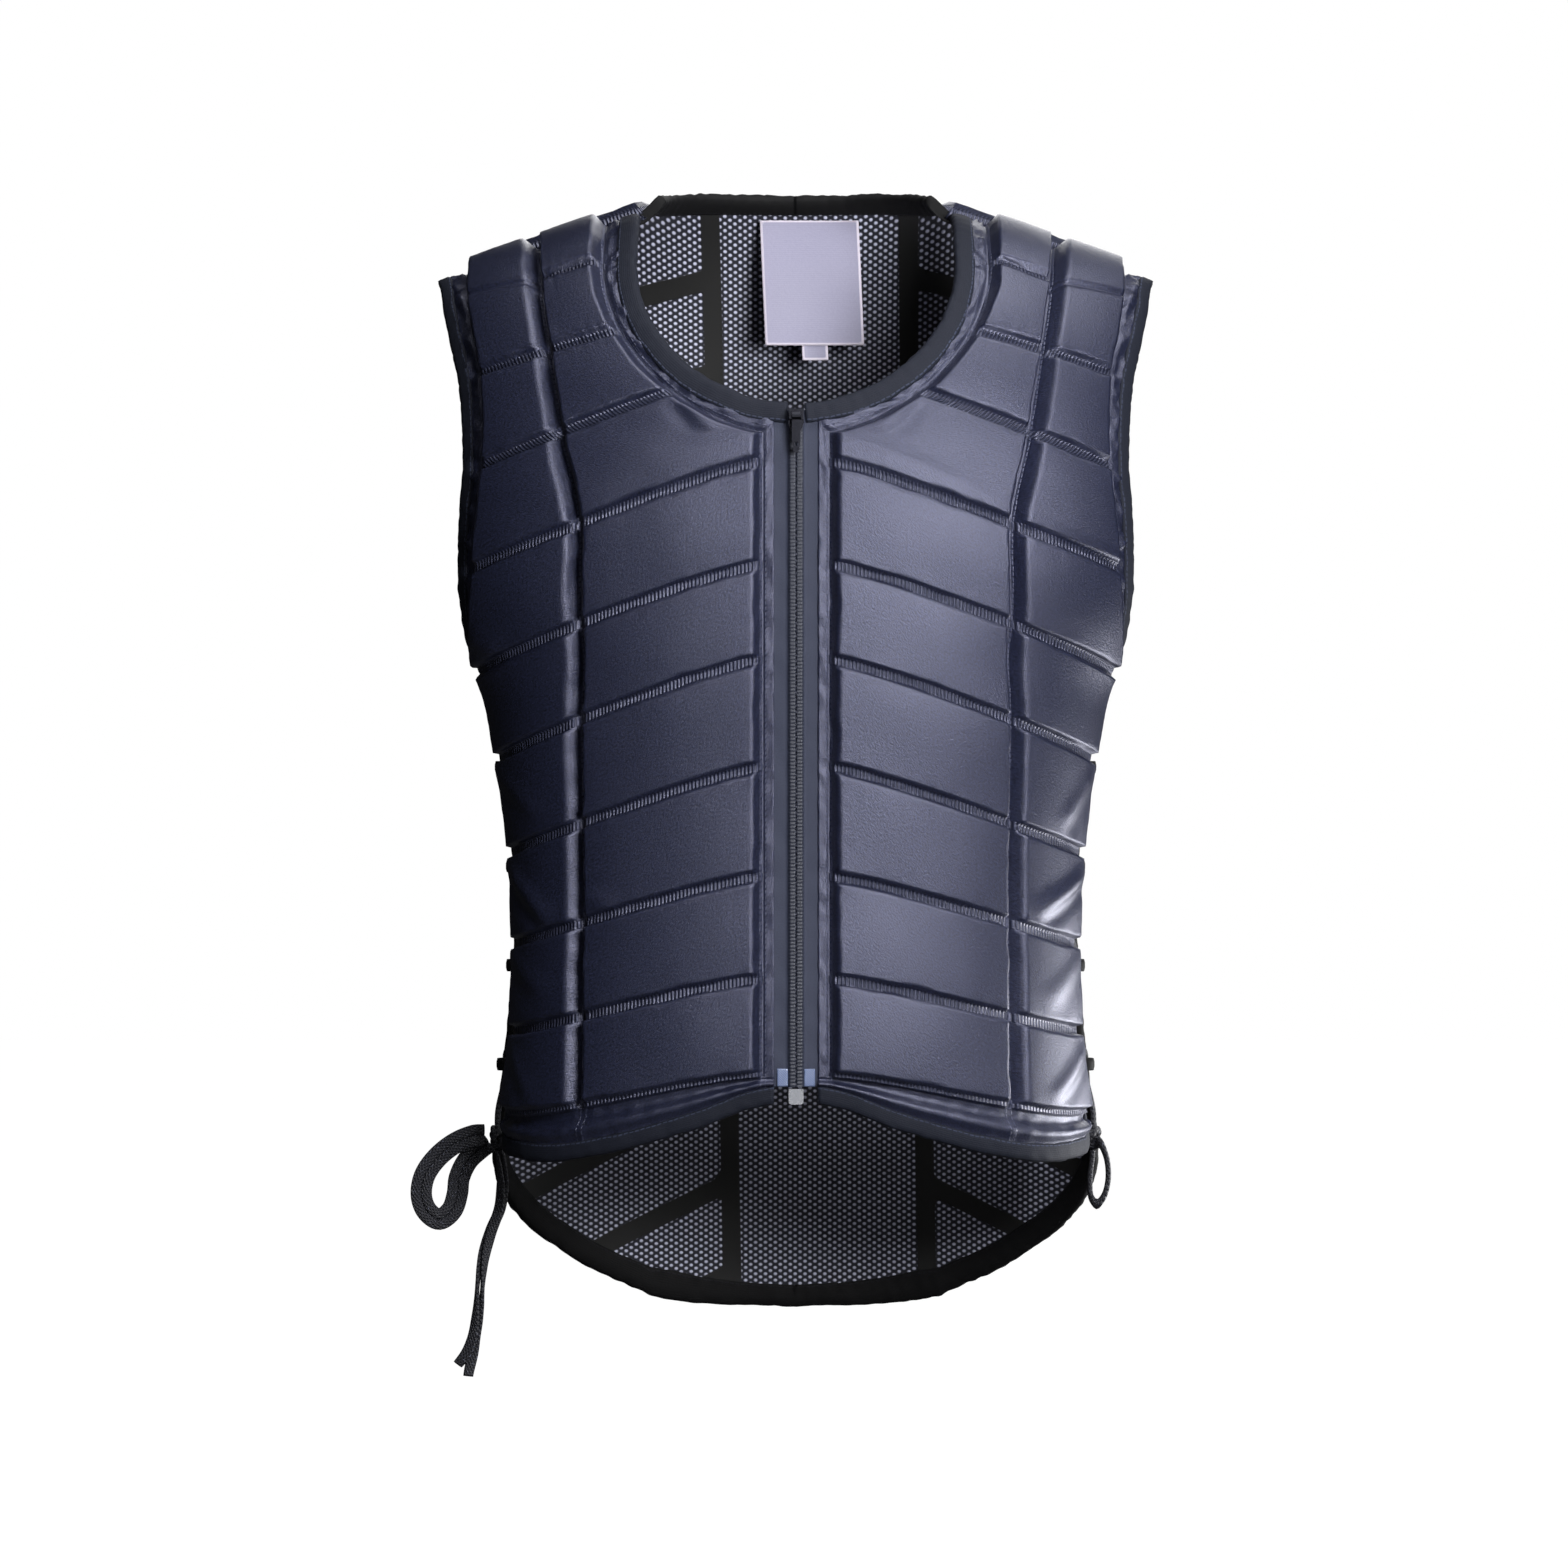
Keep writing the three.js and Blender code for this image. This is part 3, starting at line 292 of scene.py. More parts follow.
def drop_of(roll):
    """The drop below the shoulder: a quarter circle over the shoulder, then straight down."""
    return SHOULDER_ROLL * np.where(roll < HALF_PI, 1 - np.cos(roll), 1 + roll - HALF_PI)


def roll_of(drop):
    """The roll that has a drop."""
    curved = np.arccos(np.clip(1 - drop / SHOULDER_ROLL, -1, 1))
    return np.where(drop < SHOULDER_ROLL, curved, HALF_PI + drop / SHOULDER_ROLL - 1)


def half_width(face, drop):
    """The shell's half width at a drop."""
    name = "front" if face == FRONT else "back"
    return TORSO_HALF_WIDTH * along(SECTIONS, "drop", name, drop / FRONT_LENGTH)


def shell(face, turn, roll):
    """The shell: at each drop a squared ellipse, |x/w|^n + |y/d|^n = 1, whose depth grows over the
    shoulder as a quarter ellipse, hung below the shoulder line."""
    drop = drop_of(roll)
    grown = np.sin(np.minimum(roll, HALF_PI))
    depth = TORSO_HALF_DEPTH * along(SECTIONS, "drop", "depth", drop / FRONT_LENGTH) * grown
    sine, cosine = np.sin(turn), np.cos(turn)
    norm = (np.abs(sine) ** SQUARENESS + np.abs(cosine) ** SQUARENESS) ** (-1 / SQUARENESS)
    x = half_width(face, drop) * sine * norm
    return np.stack([x, face * depth * cosine * norm, shoulder_line(face, x) - drop], -1)


def tangents(face, turn, roll):
    """How the shell runs round and down at a spot, for each radian, from small steps."""
    step = 0.002
    low = np.maximum(roll - step, 0)
    round_it = (shell(face, turn + step, roll) - shell(face, turn - step, roll)) / (2 * step)
    down_it = (shell(face, turn, roll + step) - shell(face, turn, low)) / (roll + step - low)[..., None]
    return round_it, down_it


def on_cloth(face, side, turn, roll, height=0.0):
    """Points a height above the cloth's outer side, along the normal of the shell, mirrored to the
    vest's side."""
    turn, roll, height = np.broadcast_arrays(turn, roll, height)
    round_it, down_it = tangents(face, turn, roll)
    normal = np.cross(round_it, down_it)
    normal *= face / np.linalg.norm(normal, axis=-1, keepdims=True)
    points = shell(face, turn, roll) + normal * height[..., None]
    points[..., 0] *= side
    return points


def turn_of(share):
    """The turn whose squared ellipse has this share of its half width."""
    share = np.clip(share, 0, 1)
    return np.arctan2(share, (1 - share**SQUARENESS) ** (1 / SQUARENESS))


def spot_at(face, x, z):
    """The spot (turn, roll) at a distance from the middle and a height."""
    drop = np.maximum(shoulder_line(face, x) - z, 0)
    return np.array([turn_of(x / half_width(face, drop)), roll_of(drop)])


def spot_on_turn(face, degrees, z):
    """The spot at a height on a line of fixed turn, found by stepping the roll by the height that is
    missing."""
    turn = math.radians(degrees)
    roll = np.full(np.shape(z), HALF_PI)
    for _ in range(12):
        roll = roll_of(drop_of(roll) + shell(face, turn, roll)[..., 2] - z)
    return np.array([np.full(np.shape(z), turn), roll])


def armhole_spot(face, z):
    """The spot of the armhole's edge at a height, found by repeated substitution of its drop."""
    drop = -np.asarray(z, float)
    for _ in range(12):
        width = along(ARMHOLE_EDGE, "drop", "width", drop / ARMHOLE_DROP)
        drop = np.maximum(0, shoulder_line(face, half_width(face, drop) * width) - z)
    return np.array([turn_of(width), np.maximum(roll_of(drop), 0.002)])


def moved(face, spot, out=0.0, down=0.0):
    """The spot moved along the cloth, in millimetres, out from the middle and down."""
    round_it, down_it = tangents(face, spot[0], spot[1])
    return np.array([
        spot[0] + out / np.linalg.norm(round_it, axis=-1),
        np.maximum(spot[1] + down / np.linalg.norm(down_it, axis=-1), 0.0),
    ])


def neckline_spot(margin, angle):
    """The neckline at a margin outside its finished edge: a flattened oval at an angle up from its
    lowest point."""
    exponent = 2.2 - 0.02 * margin
    across = (NECK_HALF_WIDTH + margin) * np.sin(angle) ** (2 / exponent)
    down = (NECK_FRONT_DROP + margin - NECK_CURVE_START) * np.abs(np.cos(angle)) ** (2 / exponent)
    return spot_at(FRONT, across, -NECK_CURVE_START - down)


def opening_spot(margin, zip_x, at):
    """The line beside the front opening at each row: down beside the neck to row 1, round the oval to
    row 3.8, and down beside the zip from row 4."""
    outline = 2.2 - 0.02 * (NECK_BINDING + NECK_FACING)
    reach = NECK_FRONT_DROP + NECK_BINDING + NECK_FACING - NECK_CURVE_START
    heights = FRONT_ROWS["inner"] * FRONT_LENGTH
    shares = np.clip((heights[1:4] - NECK_CURVE_START) / reach, 0, 1)
    row_angles = np.arccos(shares ** (outline / 2))
    turn_in = math.asin((zip_x / (NECK_HALF_WIDTH + margin)) ** ((2.2 - 0.02 * margin) / 2))
    angle = np.interp(at, [1, 2, 3, 3.8], [*row_angles, turn_in])
    beside_neck = spot_at(FRONT, np.full(at.shape, NECK_HALF_WIDTH + margin, float),
                          -np.interp(at, [0, 1], [3, heights[1]]))
    oval = neckline_spot(margin, angle)
    z = -FRONT_LENGTH * along(FRONT_ROWS, "row", "inner", np.maximum(at, 4))
    beside_zip = spot_at(FRONT, np.full(at.shape, zip_x, float), z)
    corner = np.clip((at - 3.8) / 0.2, 0, 1)
    lower = oval * (1 - corner) + beside_zip * corner
    return np.where(at < 1, beside_neck, lower)


def smooth_line(stops, spots, at):
    """A smooth line of spots through knots at the given stops."""
    table = {"at": np.array(stops, float), "turn": spots[0], "roll": spots[1]}
    return np.array([along(table, "at", "turn", at), along(table, "at", "roll", at)])


def front_lines(at):
    """The long lines of a front half at each row: opening, blocks' inner ends, long seam, blocks' outer
    ends, and the cloth's arm and side edge."""
    rows = FRONT_ROWS["row"]
    seam_x = FRONT_ROWS["seam"] * TORSO_HALF_WIDTH
    seam_z = -FRONT_ROWS["princess"] * FRONT_LENGTH
    seam_z[0] = shoulder_line(FRONT, seam_x[0])
    z = -FRONT_ROWS["outer"] * FRONT_LENGTH
    z[0] = shoulder_line(FRONT, TORSO_HALF_WIDTH * ARMHOLE_EDGE["width"][0])
    stops = np.array([*rows[:5], 4.35, 4.7, *rows[5:]])
    heights = np.array([*z[:5], z[4] + 0.35 * (z[5] - z[4]), z[4] + 0.6 * (z[5] - z[4]), *z[5:]])
    arm = heights > -ARMHOLE_DROP - 20
    edge_knots = np.where(arm, armhole_spot(FRONT, heights), spot_on_turn(FRONT, FRONT_SIDE_TURN, heights))
    edge = smooth_line(stops, edge_knots, at)
    return {
        "open": opening_spot(NECK_BINDING, ZIP_EDGE, at),
        "inner": opening_spot(NECK_BINDING + NECK_FACING, ZIP_EDGE + ZIP_FACING, at),
        "princess": smooth_line(rows, spot_at(FRONT, seam_x, seam_z), at),
        "outer": moved(FRONT, edge, -ARM_FACING),
        "edge": edge,
    }


def back_top(x):
    """The back's top edge: a flat-topped arc up from the neck points, and then the shoulder seam."""
    neck = NECK_HALF_WIDTH + NECK_BINDING
    seat = shoulder_line(BACK, neck)
    rise = (NECK_BACK_RISE - NECK_BINDING - seat) * np.maximum(0, 1 - (x / neck) ** 4)
    return spot_at(BACK, x, np.where(x < neck, seat + rise, shoulder_line(BACK, x)))


def hem_spot(table, length, face, x):
    """The spot of a hem's cloth edge at a distance from the middle."""
    return spot_at(face, x, -length * along(table, "width", "height", x / TORSO_HALF_WIDTH))


def back_lines(at):
    """The long lines of a back half at each row: the middle, the spine block's edge, the side blocks'
    outer ends and the cloth's edge. Rows 11 and 12 are the tail."""
    def inner(x):
        z = -BACK_ROWS["spine"] * BACK_LENGTH
        rows = spot_at(BACK, np.full(z.shape, x, float), z)
        top = back_top(np.array([float(x)]))
        tail = hem_spot(BACK_TAIL, BACK_LENGTH, BACK, np.array([float(x)]))
        above = moved(BACK, tail, 0, -TAIL_FACING)
        return smooth_line(range(13), np.concatenate([top, rows, above, tail], 1), at)

    z = -BACK_ROWS["side"] * BACK_LENGTH
    z = np.insert(z, 4, (z[3] + z[4]) / 2)
    stops = [0, 1, 2, 3, 4, 4.5, 5, 6, 7, 8, 9, 10, 11, 12]
    arm = z > -ARMHOLE_DROP - 20
    edge = np.where(arm, armhole_spot(BACK, z), spot_on_turn(BACK, BACK_SIDE_TURN, z))
    top = armhole_spot(BACK, shoulder_line(BACK, np.array([TORSO_HALF_WIDTH * ARMHOLE_EDGE["width"][0]])))
    corner = edge[:, -1:]
    tail = [moved(BACK, corner, -2, 6), moved(BACK, corner, -9, 12)]
    edge = smooth_line(stops, np.concatenate([top, edge, *tail], 1), at)
    return {
        "middle": inner(0),
        "spine": inner(SPINE_HALF_WIDTH),
        "outer": moved(BACK, edge, -ARM_FACING),
        "edge": edge,
    }


def ripple(u, v, wave, seed):
    """Smooth noise from -1 to 1: a sum of sines whose directions and phases are drawn once for the seed."""
    draw = np.random.default_rng(seed)
    total = 0
    for _ in range(7):
        angle, phase, stretch = draw.uniform(0, 2 * math.pi, 2).tolist() + [draw.uniform(0.7, 1.5)]
        along_it = u * math.cos(angle) + v * math.sin(angle)
        total = total + np.sin(along_it * 2 * math.pi * stretch / wave + phase)
    return total / 3.2


def soft_min(a, b, softness):
    """The lower of two, rounded where they meet."""
    h = np.maximum(softness - np.abs(a - b), 0) / softness
    return np.minimum(a, b) - h * h * softness / 4


def stops_between(start, end, count):
    """Stops that lie closer together towards both ends, where a block's walls are."""
    t = np.linspace(0, 1, count + 1)
    return start + (end - start) * (0.16 * t + 0.42 * (1 - np.cos(math.pi * t)))


def runs(points, axis):
    """The length along the grid's lines up to each point."""
    steps = np.linalg.norm(np.diff(points, axis=axis), axis=-1)
    return np.insert(np.cumsum(steps, axis), 0, 0, axis)


def to_seams(run, axis, seams):
    """The distances of each point to the two seams it lies between, along the grid's lines, and its
    share of the way from the first to the second."""
    index = np.arange(run.shape[axis])
    seams = np.asarray(seams)
    upper = np.clip(np.searchsorted(seams, index, side="right"), 1, len(seams) - 1)
    low, high = np.take(run, seams[upper - 1], axis), np.take(run, seams[upper], axis)
    return run - low, high - run, (run - low) / np.maximum(high - low, 1e-6)


def block_height(seed, down, across, slopes, run_across, run_down):
    """The quilt's height. Across the blocks a shallow channel with a flat stitched floor parts the rows,
    and a deep one the columns, whose two walls have their own slopes. The crest where the walls meet the
    nearly flat top is rounded. The cloth puckers a little beside the seams."""
    gap_down = np.minimum(down[0], down[1])
    crown = 0.7 * (1 - (2 * across[2] - 1) ** 2) * (1 - (2 * down[2] - 1) ** 2)
    uneven = 0.2 * ripple(run_across, run_down, 60, seed)
    shift = 0.3 * ripple(run_across, run_down, 24, seed + 2)
    wall_down = np.maximum(gap_down - ROW_CHANNEL_HALF + shift, 0) * ROW_WALL_SLOPE + ROW_CHANNEL_FLOOR
    wall_across = np.minimum(slopes[0] * (across[0] - SEAM_CHANNEL_HALF + shift),
                             slopes[1] * (across[1] - SEAM_CHANNEL_HALF - shift))
    top = PAD_HEIGHT + crown + uneven
    height = soft_min(soft_min(wall_down, wall_across, CREST_SOFTNESS), top, CREST_SOFTNESS)
    gap_across = np.minimum(across[0], across[1])
    pucker = (0.22 * np.exp(-gap_down / 5) * ripple(run_across, 0.3 * run_down, 7, seed + 3)
              + 0.22 * np.exp(-gap_across / 5) * ripple(0.3 * run_across, run_down, 7, seed + 4))
    return np.maximum(height, 0) + np.where(height > 1, pucker, 0.3 * pucker)


def put_mesh(name, points, faces, materials, slots=None, values=None):
    """A mesh object from points in millimetres and faces, turned outwards by the sign of its volume.
    values holds named attributes, three numbers for each point."""
    points = np.asarray(points, float)
    first = [np.asarray(f)[:, :3] for f in faces]
    corners = points[np.concatenate(first)]
    middle = points.mean(0)
    arms = corners - middle
    spin = np.einsum("ij,ij->", arms[:, 0], np.cross(arms[:, 1], arms[:, 2]))
    ordered = [np.asarray(f)[:, ::-1] if spin < 0 else np.asarray(f) for f in faces]
    mesh = bpy.data.meshes.new(name)
    mesh.from_pydata((points * MM).tolist(), [], [face for group in ordered for face in group.tolist()])
    for material in materials:
        mesh.materials.append(material)
    if slots is not None:
        mesh.polygons.foreach_set("material_index", np.concatenate(slots))
    for key, value in (values or {}).items():
        store = mesh.attributes.new(key, "FLOAT_VECTOR", "POINT")
        store.data.foreach_set("vector", np.ascontiguousarray(value, np.float32).ravel())
    mesh.polygons.foreach_set("use_smooth", np.full(len(mesh.polygons), True))
    mesh.update()
    piece = bpy.data.objects.new(name, mesh)
    bpy.context.scene.collection.objects.link(piece)
    return piece


def grid_faces(rows, cols, start=0):
    """The four corners of each cell of a grid of points."""
    index = np.arange(rows * cols).reshape(rows, cols) + start
    return np.stack([index[:-1, :-1], index[:-1, 1:], index[1:, 1:], index[1:, :-1]], -1).reshape(-1, 4)


def between_grids(outer, inner):
    """Faces of a closed body between two grids of points with the same stops: both grids and the wall
    between."""
    rows, cols = outer.shape[:2]
    count = rows * cols
    index = np.arange(count).reshape(rows, cols)
    rim = np.concatenate([index[0, :-1], index[:-1, -1], index[-1, :0:-1], index[:0:-1, 0]])
    after = np.roll(rim, -1)
    wall = np.stack([rim, rim + count, after + count, after], -1)
    top = grid_faces(rows, cols)
    under = grid_faces(rows, cols, count)[:, ::-1]
    return np.concatenate([outer.reshape(-1, 3), inner.reshape(-1, 3)]), [top, under, wall]


def hex_colour(text):
    """An sRGB hex colour as linear red, green, blue and alpha."""
    parts = np.array([int(text[i:i + 2], 16) for i in (1, 3, 5)]) / 255
    linear = np.where(parts <= 0.04045, parts / 12.92, ((parts + 0.055) / 1.055) ** 2.4)
    return (*linear.tolist(), 1.0)


def put_in(tree, node, values):
    """Sets a node's inputs, by name or number. Each value is a number, a colour or a socket to link."""
    for key, value in values.items():
        if isinstance(value, bpy.types.NodeSocket):
            tree.links.new(value, node.inputs[key])
        else:
            node.inputs[key].default_value = value


def add(tree, kind, settings, inputs):
    """Adds one node with its settings and inputs, and gives its outputs."""
    node = tree.nodes.new(kind)
    for key, value in settings.items():
        setattr(node, key, value)
    put_in(tree, node, inputs)
    return node.outputs


def reckon(tree, operation, *values):
    """One arithmetic node."""
    return add(tree, "ShaderNodeMath", {"operation": operation}, dict(enumerate(values)))[0]


def reckon_vector(tree, operation, *values):
    """One arithmetic node on vectors."""
    return add(tree, "ShaderNodeVectorMath", {"operation": operation}, dict(enumerate(values)))[0]


def sine(tree, value, pitch):
    """A sine along a value, with one wave to each pitch."""
    return reckon(tree, "SINE", reckon(tree, "MULTIPLY", value, 2 * math.pi / pitch))


def fade(tree, value, start, end, curve="SMOOTHSTEP"):
    """0 where the value is at the start, 1 where it is at the end."""
    return add(tree, "ShaderNodeMapRange", {"interpolation_type": curve},
               {"Value": value, "From Min": start, "From Max": end})[0]


def mix(tree, share, first, second, blend="MIX"):
    """Two colours, each a hex text or a socket, mixed by a share of the second."""
    first, second = (hex_colour(tone) if isinstance(tone, str) else tone for tone in (first, second))
    return add(tree, "ShaderNodeMixRGB", {"blend_type": blend},
               {"Fac": share, "Color1": first, "Color2": second})[0]


def noise(tree, place, scale, detail, roughness=0.5):
    """Cloudy noise from 0 to 1."""
    return add(tree, "ShaderNodeTexNoise", {},
               {"Vector": place, "Scale": scale, "Detail": detail, "Roughness": roughness})[0]


def relief(tree, height, strength, depth):
    """A relief of the surface, its depth in metres."""
    return add(tree, "ShaderNodeBump", {}, {"Height": height, "Strength": strength, "Distance": depth})[0]


def attribute(tree, name):
    """A named attribute of the mesh, and its three parts."""
    whole = add(tree, "ShaderNodeAttribute", {"attribute_name": name}, {})["Vector"]
    return whole, add(tree, "ShaderNodeSeparateXYZ", {}, {0: whole})


def new_material(name):
    """An empty material with its node tree and its principled shader."""
    material = bpy.data.materials.new(name)
    material.use_nodes = True
    tree = material.node_tree
    return material, tree, tree.nodes["Principled BSDF"]


def stitch_mask(tree, gap, run, offset, thread, pitch):
    """Thread of a running stitch: a line at an offset from the seam, broken at the end of each stitch."""
    away = reckon(tree, "ABSOLUTE", reckon(tree, "SUBTRACT", gap, offset))
    line = fade(tree, away, thread, thread * 0.5)
    dash = reckon(tree, "FRACT", reckon(tree, "DIVIDE", run, pitch))
    return reckon(tree, "MULTIPLY", line, reckon(tree, "LESS_THAN", dash, 0.68))


def quilt_cloth():
    """Brushed polyester knit, laminated to the foam: a dark navy that turns lilac grey where it is lit,
    a melange of lighter fibres, a ribbed cover stitch along the floor of each channel, and painted shade
    that darkens that floor."""
    material, tree, shader = new_material("brushed_polyester_knit")
    run, run_parts = attribute(tree, "run")
    _, seam_gaps = attribute(tree, "seam")
    # Fibre flecks are 0.3 mm on the cloth and are drawn 1.3 mm long, so that they show.
    fleck = noise(tree, run, 0.8, 4, 0.75)
    cloud = noise(tree, run, 0.045, 3)
    base = mix(tree, fade(tree, fleck, 0.36, 0.64, "LINEAR"), "#05060b", "#20243a")
    base = mix(tree, 0.35, base, mix(tree, cloud, "#8d8fa5", "#ffffff"), "MULTIPLY")
    # The cover stitch lies across the channel: one thread every RIB_PITCH along it.
    floor = fade(tree, seam_gaps[0], ROW_CHANNEL_HALF + 0.2, ROW_CHANNEL_HALF - 0.5)
    rib = reckon(tree, "MULTIPLY_ADD", sine(tree, run_parts[0], RIB_PITCH), 0.5, 0.5)
    line = stitch_mask(tree, seam_gaps[1], run_parts[1], SEAM_STITCH, 0.5, 3.0)
    stitch = reckon(tree, "MAXIMUM", reckon(tree, "MULTIPLY", rib, floor), line)
    # Painted shade: the floor of each row channel is darkened, as shade that falls in the recess.
    base = mix(tree, reckon(tree, "MULTIPLY", floor, 0.55), base, "#3c3e50", "MULTIPLY")
    height = reckon(tree, "MULTIPLY_ADD", fleck, 0.7, stitch)
    put_in(tree, shader, {
        "Base Color": mix(tree, reckon(tree, "MULTIPLY", stitch, 0.4), base, "#44485e"),
        "Normal": relief(tree, height, 0.75, 0.0006),
        "Roughness": 0.4,
        "Specular IOR Level": 0.8,
        "Specular Tint": hex_colour("#c9cbe6"),
    })
    return material


def mesh_lining():
    """Warp-knit spacer mesh: dark navy with staggered light dots, 5.8 mm by 1.85 mm apart, under black
    sewn tapes."""
    material, tree, shader = new_material("warp_knit_spacer_mesh")
    place = add(tree, "ShaderNodeTexCoord", {}, {})["Object"]
    place = reckon_vector(tree, "MULTIPLY", place, (1000, 0, 1000))
    distances = []
    for offset in (0.0, 0.5):
        steps = reckon_vector(tree, "DIVIDE", place, (5.8, 1.0, 3.7))
        steps = reckon_vector(tree, "ADD", steps, (offset, 0.5, offset))
        steps = reckon_vector(tree, "FRACTION", steps)
        steps = reckon_vector(tree, "SUBTRACT", steps, (0.5, 0.5, 0.5))
        steps = reckon_vector(tree, "MULTIPLY", steps, (5.8, 0.0, 4.4))
        distances.append(add(tree, "ShaderNodeVectorMath", {"operation": "LENGTH"}, {0: steps})["Value"])
    dot = fade(tree, reckon(tree, "MINIMUM", *distances), 1.45, 0.45)
    colour = mix(tree, dot, "#10121f", "#bcbed4")
    _, band = attribute(tree, "band")
    tape = fade(tree, band[0], 5.9, 5.1)
    put_in(tree, shader, {
        "Base Color": mix(tree, tape, colour, "#020203"),
        "Normal": relief(tree, reckon(tree, "MAXIMUM", tape, dot), 0.6, 0.0006),
        "Roughness": 0.8,
    })
    return material


def woven_tape(name, dark, light, stitch_colour):
    """Woven polyester binding tape: fine ribs along its length, and a running stitch near its inner
    edge."""
    material, tree, shader = new_material(name)
    run, parts = attribute(tree, "run")
    grain = noise(tree, run, 0.9, 3, 0.65)
    stitch = stitch_mask(tree, parts[0], parts[1], 1.4, 0.5, 3.2)
    # Ribs are 0.5 mm apart on the tape and are drawn 1.1 mm apart, so that they show.
    height = reckon(tree, "MULTIPLY_ADD", sine(tree, parts[0], 1.1), 0.12, grain)
    put_in(tree, shader, {
        "Base Color": mix(tree, stitch, mix(tree, grain, dark, light), stitch_colour),
        "Normal": relief(tree, reckon(tree, "ADD", height, stitch), 0.45, 0.0004),
        "Roughness": 0.75,
        "Specular IOR Level": 0.2,
    })
    return material


def braided_lace():
    """Flat braided polyester cord: black strands that cross at a slant every 3 mm, with a few lighter
    threads."""
    material, tree, shader = new_material("braided_polyester_cord")
    run, parts = attribute(tree, "run")
    slants = [reckon(tree, "MULTIPLY_ADD", parts[0], slant, parts[1]) for slant in (1.6, -1.6)]
    plait = reckon(tree, "MAXIMUM", *[sine(tree, slanted, 3.0) for slanted in slants])
    light = fade(tree, noise(tree, run, 0.55, 2), 0.6, 0.75, "LINEAR")
    put_in(tree, shader, {
        "Base Color": mix(tree, reckon(tree, "MULTIPLY", light, plait), "#10111a", "#5a5e70"),
        "Normal": relief(tree, plait, 0.7, 0.0005),
        "Roughness": 0.65,
    })
    return material


def zip_tape_cloth():
    """Woven zip tape with a nylon coil: dark navy tape with a fine grain, and smoother, darker teeth."""
    material, tree, shader = new_material("woven_zip_tape_with_nylon_coil")
    run, parts = attribute(tree, "run")
    coil = fade(tree, parts[0], 4.3, 3.9, "LINEAR")
    grain = noise(tree, run, 1.1, 3, 0.7)
    put_in(tree, shader, {
        "Base Color": mix(tree, coil, mix(tree, grain, "#0e1220", "#262c42"), "#161a28"),
        "Roughness": add(tree, "ShaderNodeMapRange", {}, {"Value": coil, "To Min": 0.8, "To Max": 0.6})[0],
        "Normal": relief(tree, grain, 0.4, 0.0003),
    })
    return material


def label_satin():
    """Woven satin label, blank: pale lilac with fine ribs and a whitish overlocked edge."""
    material, tree, shader = new_material("woven_satin_label")
    run, parts = attribute(tree, "run")
    grain = noise(tree, run, 0.6, 4, 0.7)
    edge = fade(tree, parts[2], 1.8, 0.9)
    height = reckon(tree, "MULTIPLY_ADD", sine(tree, parts[1], 1.2), 0.1, grain)
    put_in(tree, shader, {
        "Base Color": mix(tree, edge, mix(tree, grain, "#757389", "#838196"), "#b9b2bf"),
        "Normal": relief(tree, height, 0.3, 0.0003),
        "Roughness": 0.55,
    })
    return material


def plain_metal(name, dark, light, roughness):
    """Plated zinc alloy, tumbled: slightly uneven in tone, with soft highlights."""
    material, tree, shader = new_material(name)
    place = add(tree, "ShaderNodeTexCoord", {}, {})["Object"]
    put_in(tree, shader, {
        "Base Color": mix(tree, noise(tree, place, 900.0, 3), dark, light),
        "Metallic": 0.9,
        "Roughness": roughness,
    })
    return material


def reinforcing_film():
    """Welded nylon film at the zip's lower end: pale blue, glossy, with the weave pressed into it."""
    material, tree, shader = new_material("welded_nylon_film")
    _, parts = attribute(tree, "run")
    weave = reckon(tree, "MULTIPLY", sine(tree, parts[0], 1.3), sine(tree, parts[1], 1.3))
    put_in(tree, shader, {
        "Base Color": mix(tree, weave, "#5f6c8c", "#3f4a68"),
        "Normal": relief(tree, weave, 0.4, 0.0002),
        "Roughness": 0.3,
        "Alpha": 0.85,
    })
    return material


cloth = quilt_cloth()
lining = mesh_lining()
slate_tape = woven_tape("slate_woven_tape", "#080a12", "#151926", "#282d3e")
# Black tape: the back binding's own colour, and painted shade on the back of the neckline, whose tape is the
# slate one.
black_and_shaded_tape = woven_tape("black_and_shaded_woven_tape", "#020203", "#060609", "#0d0d12")
cord_braid = braided_lace()
zip_cloth = zip_tape_cloth()
label_cloth = label_satin()
black_metal = plain_metal("black_plated_zinc", "#0a0a0e", "#1c1d24", 0.32)
bright_metal = plain_metal("nickel_plated_zinc", "#a9acb6", "#d5d7dd", 0.25)
film = reinforcing_film()


def on_vest(piece, slot, *nodes):
    """Ties a piece to the vest's body and the solids that it stands for; its colour slot is not used."""
    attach(piece, "vest")
    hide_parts(*nodes)


def quilt(name, outer, inner, values, band):
    """One quilted panel: the cover over its blocks outside, the lining inside."""
    points, faces = between_grids(outer, inner)
    twice = {key: np.concatenate([value.reshape(-1, 3)] * 2) for key, value in values.items()}
    band = band.reshape(-1, 3)
    twice["band"] = np.concatenate([np.full(band.shape, NONE_NEAR), band])
    slots = [np.full(len(group), 1 if order == 1 else 0) for order, group in enumerate(faces)]
    return put_mesh(name, points, faces, [cloth, lining], slots, twice)


def three(a, b, c=0.0):
    """Three arrays as one array of triples."""
    return np.stack(np.broadcast_arrays(a, b, c), -1)


def front_grid():
    """Row stops and column places of a front half, close together beside the channels."""
    rows = [stops_between(row, row + 1, 28)[:-1] for row in range(3)]
    rows += [stops_between(3, 3.8, 24)[:-1], np.linspace(3.8, 4, 9)[:-1]]
    rows += [stops_between(row, row + 1, 34)[:-1] for row in range(4, 10)]
    rows += [stops_between(10, 11, 12)]
    places = [
        ("open", "inner", np.linspace(0, 1, 7)[:-1]),
        ("inner", "princess", stops_between(0, 1, 50)[:-1]),
        ("princess", "outer", stops_between(0, 1, 40)[:-1]),
        ("outer", "edge", np.linspace(0, 1, 7)),
    ]
    return np.concatenate(rows), places


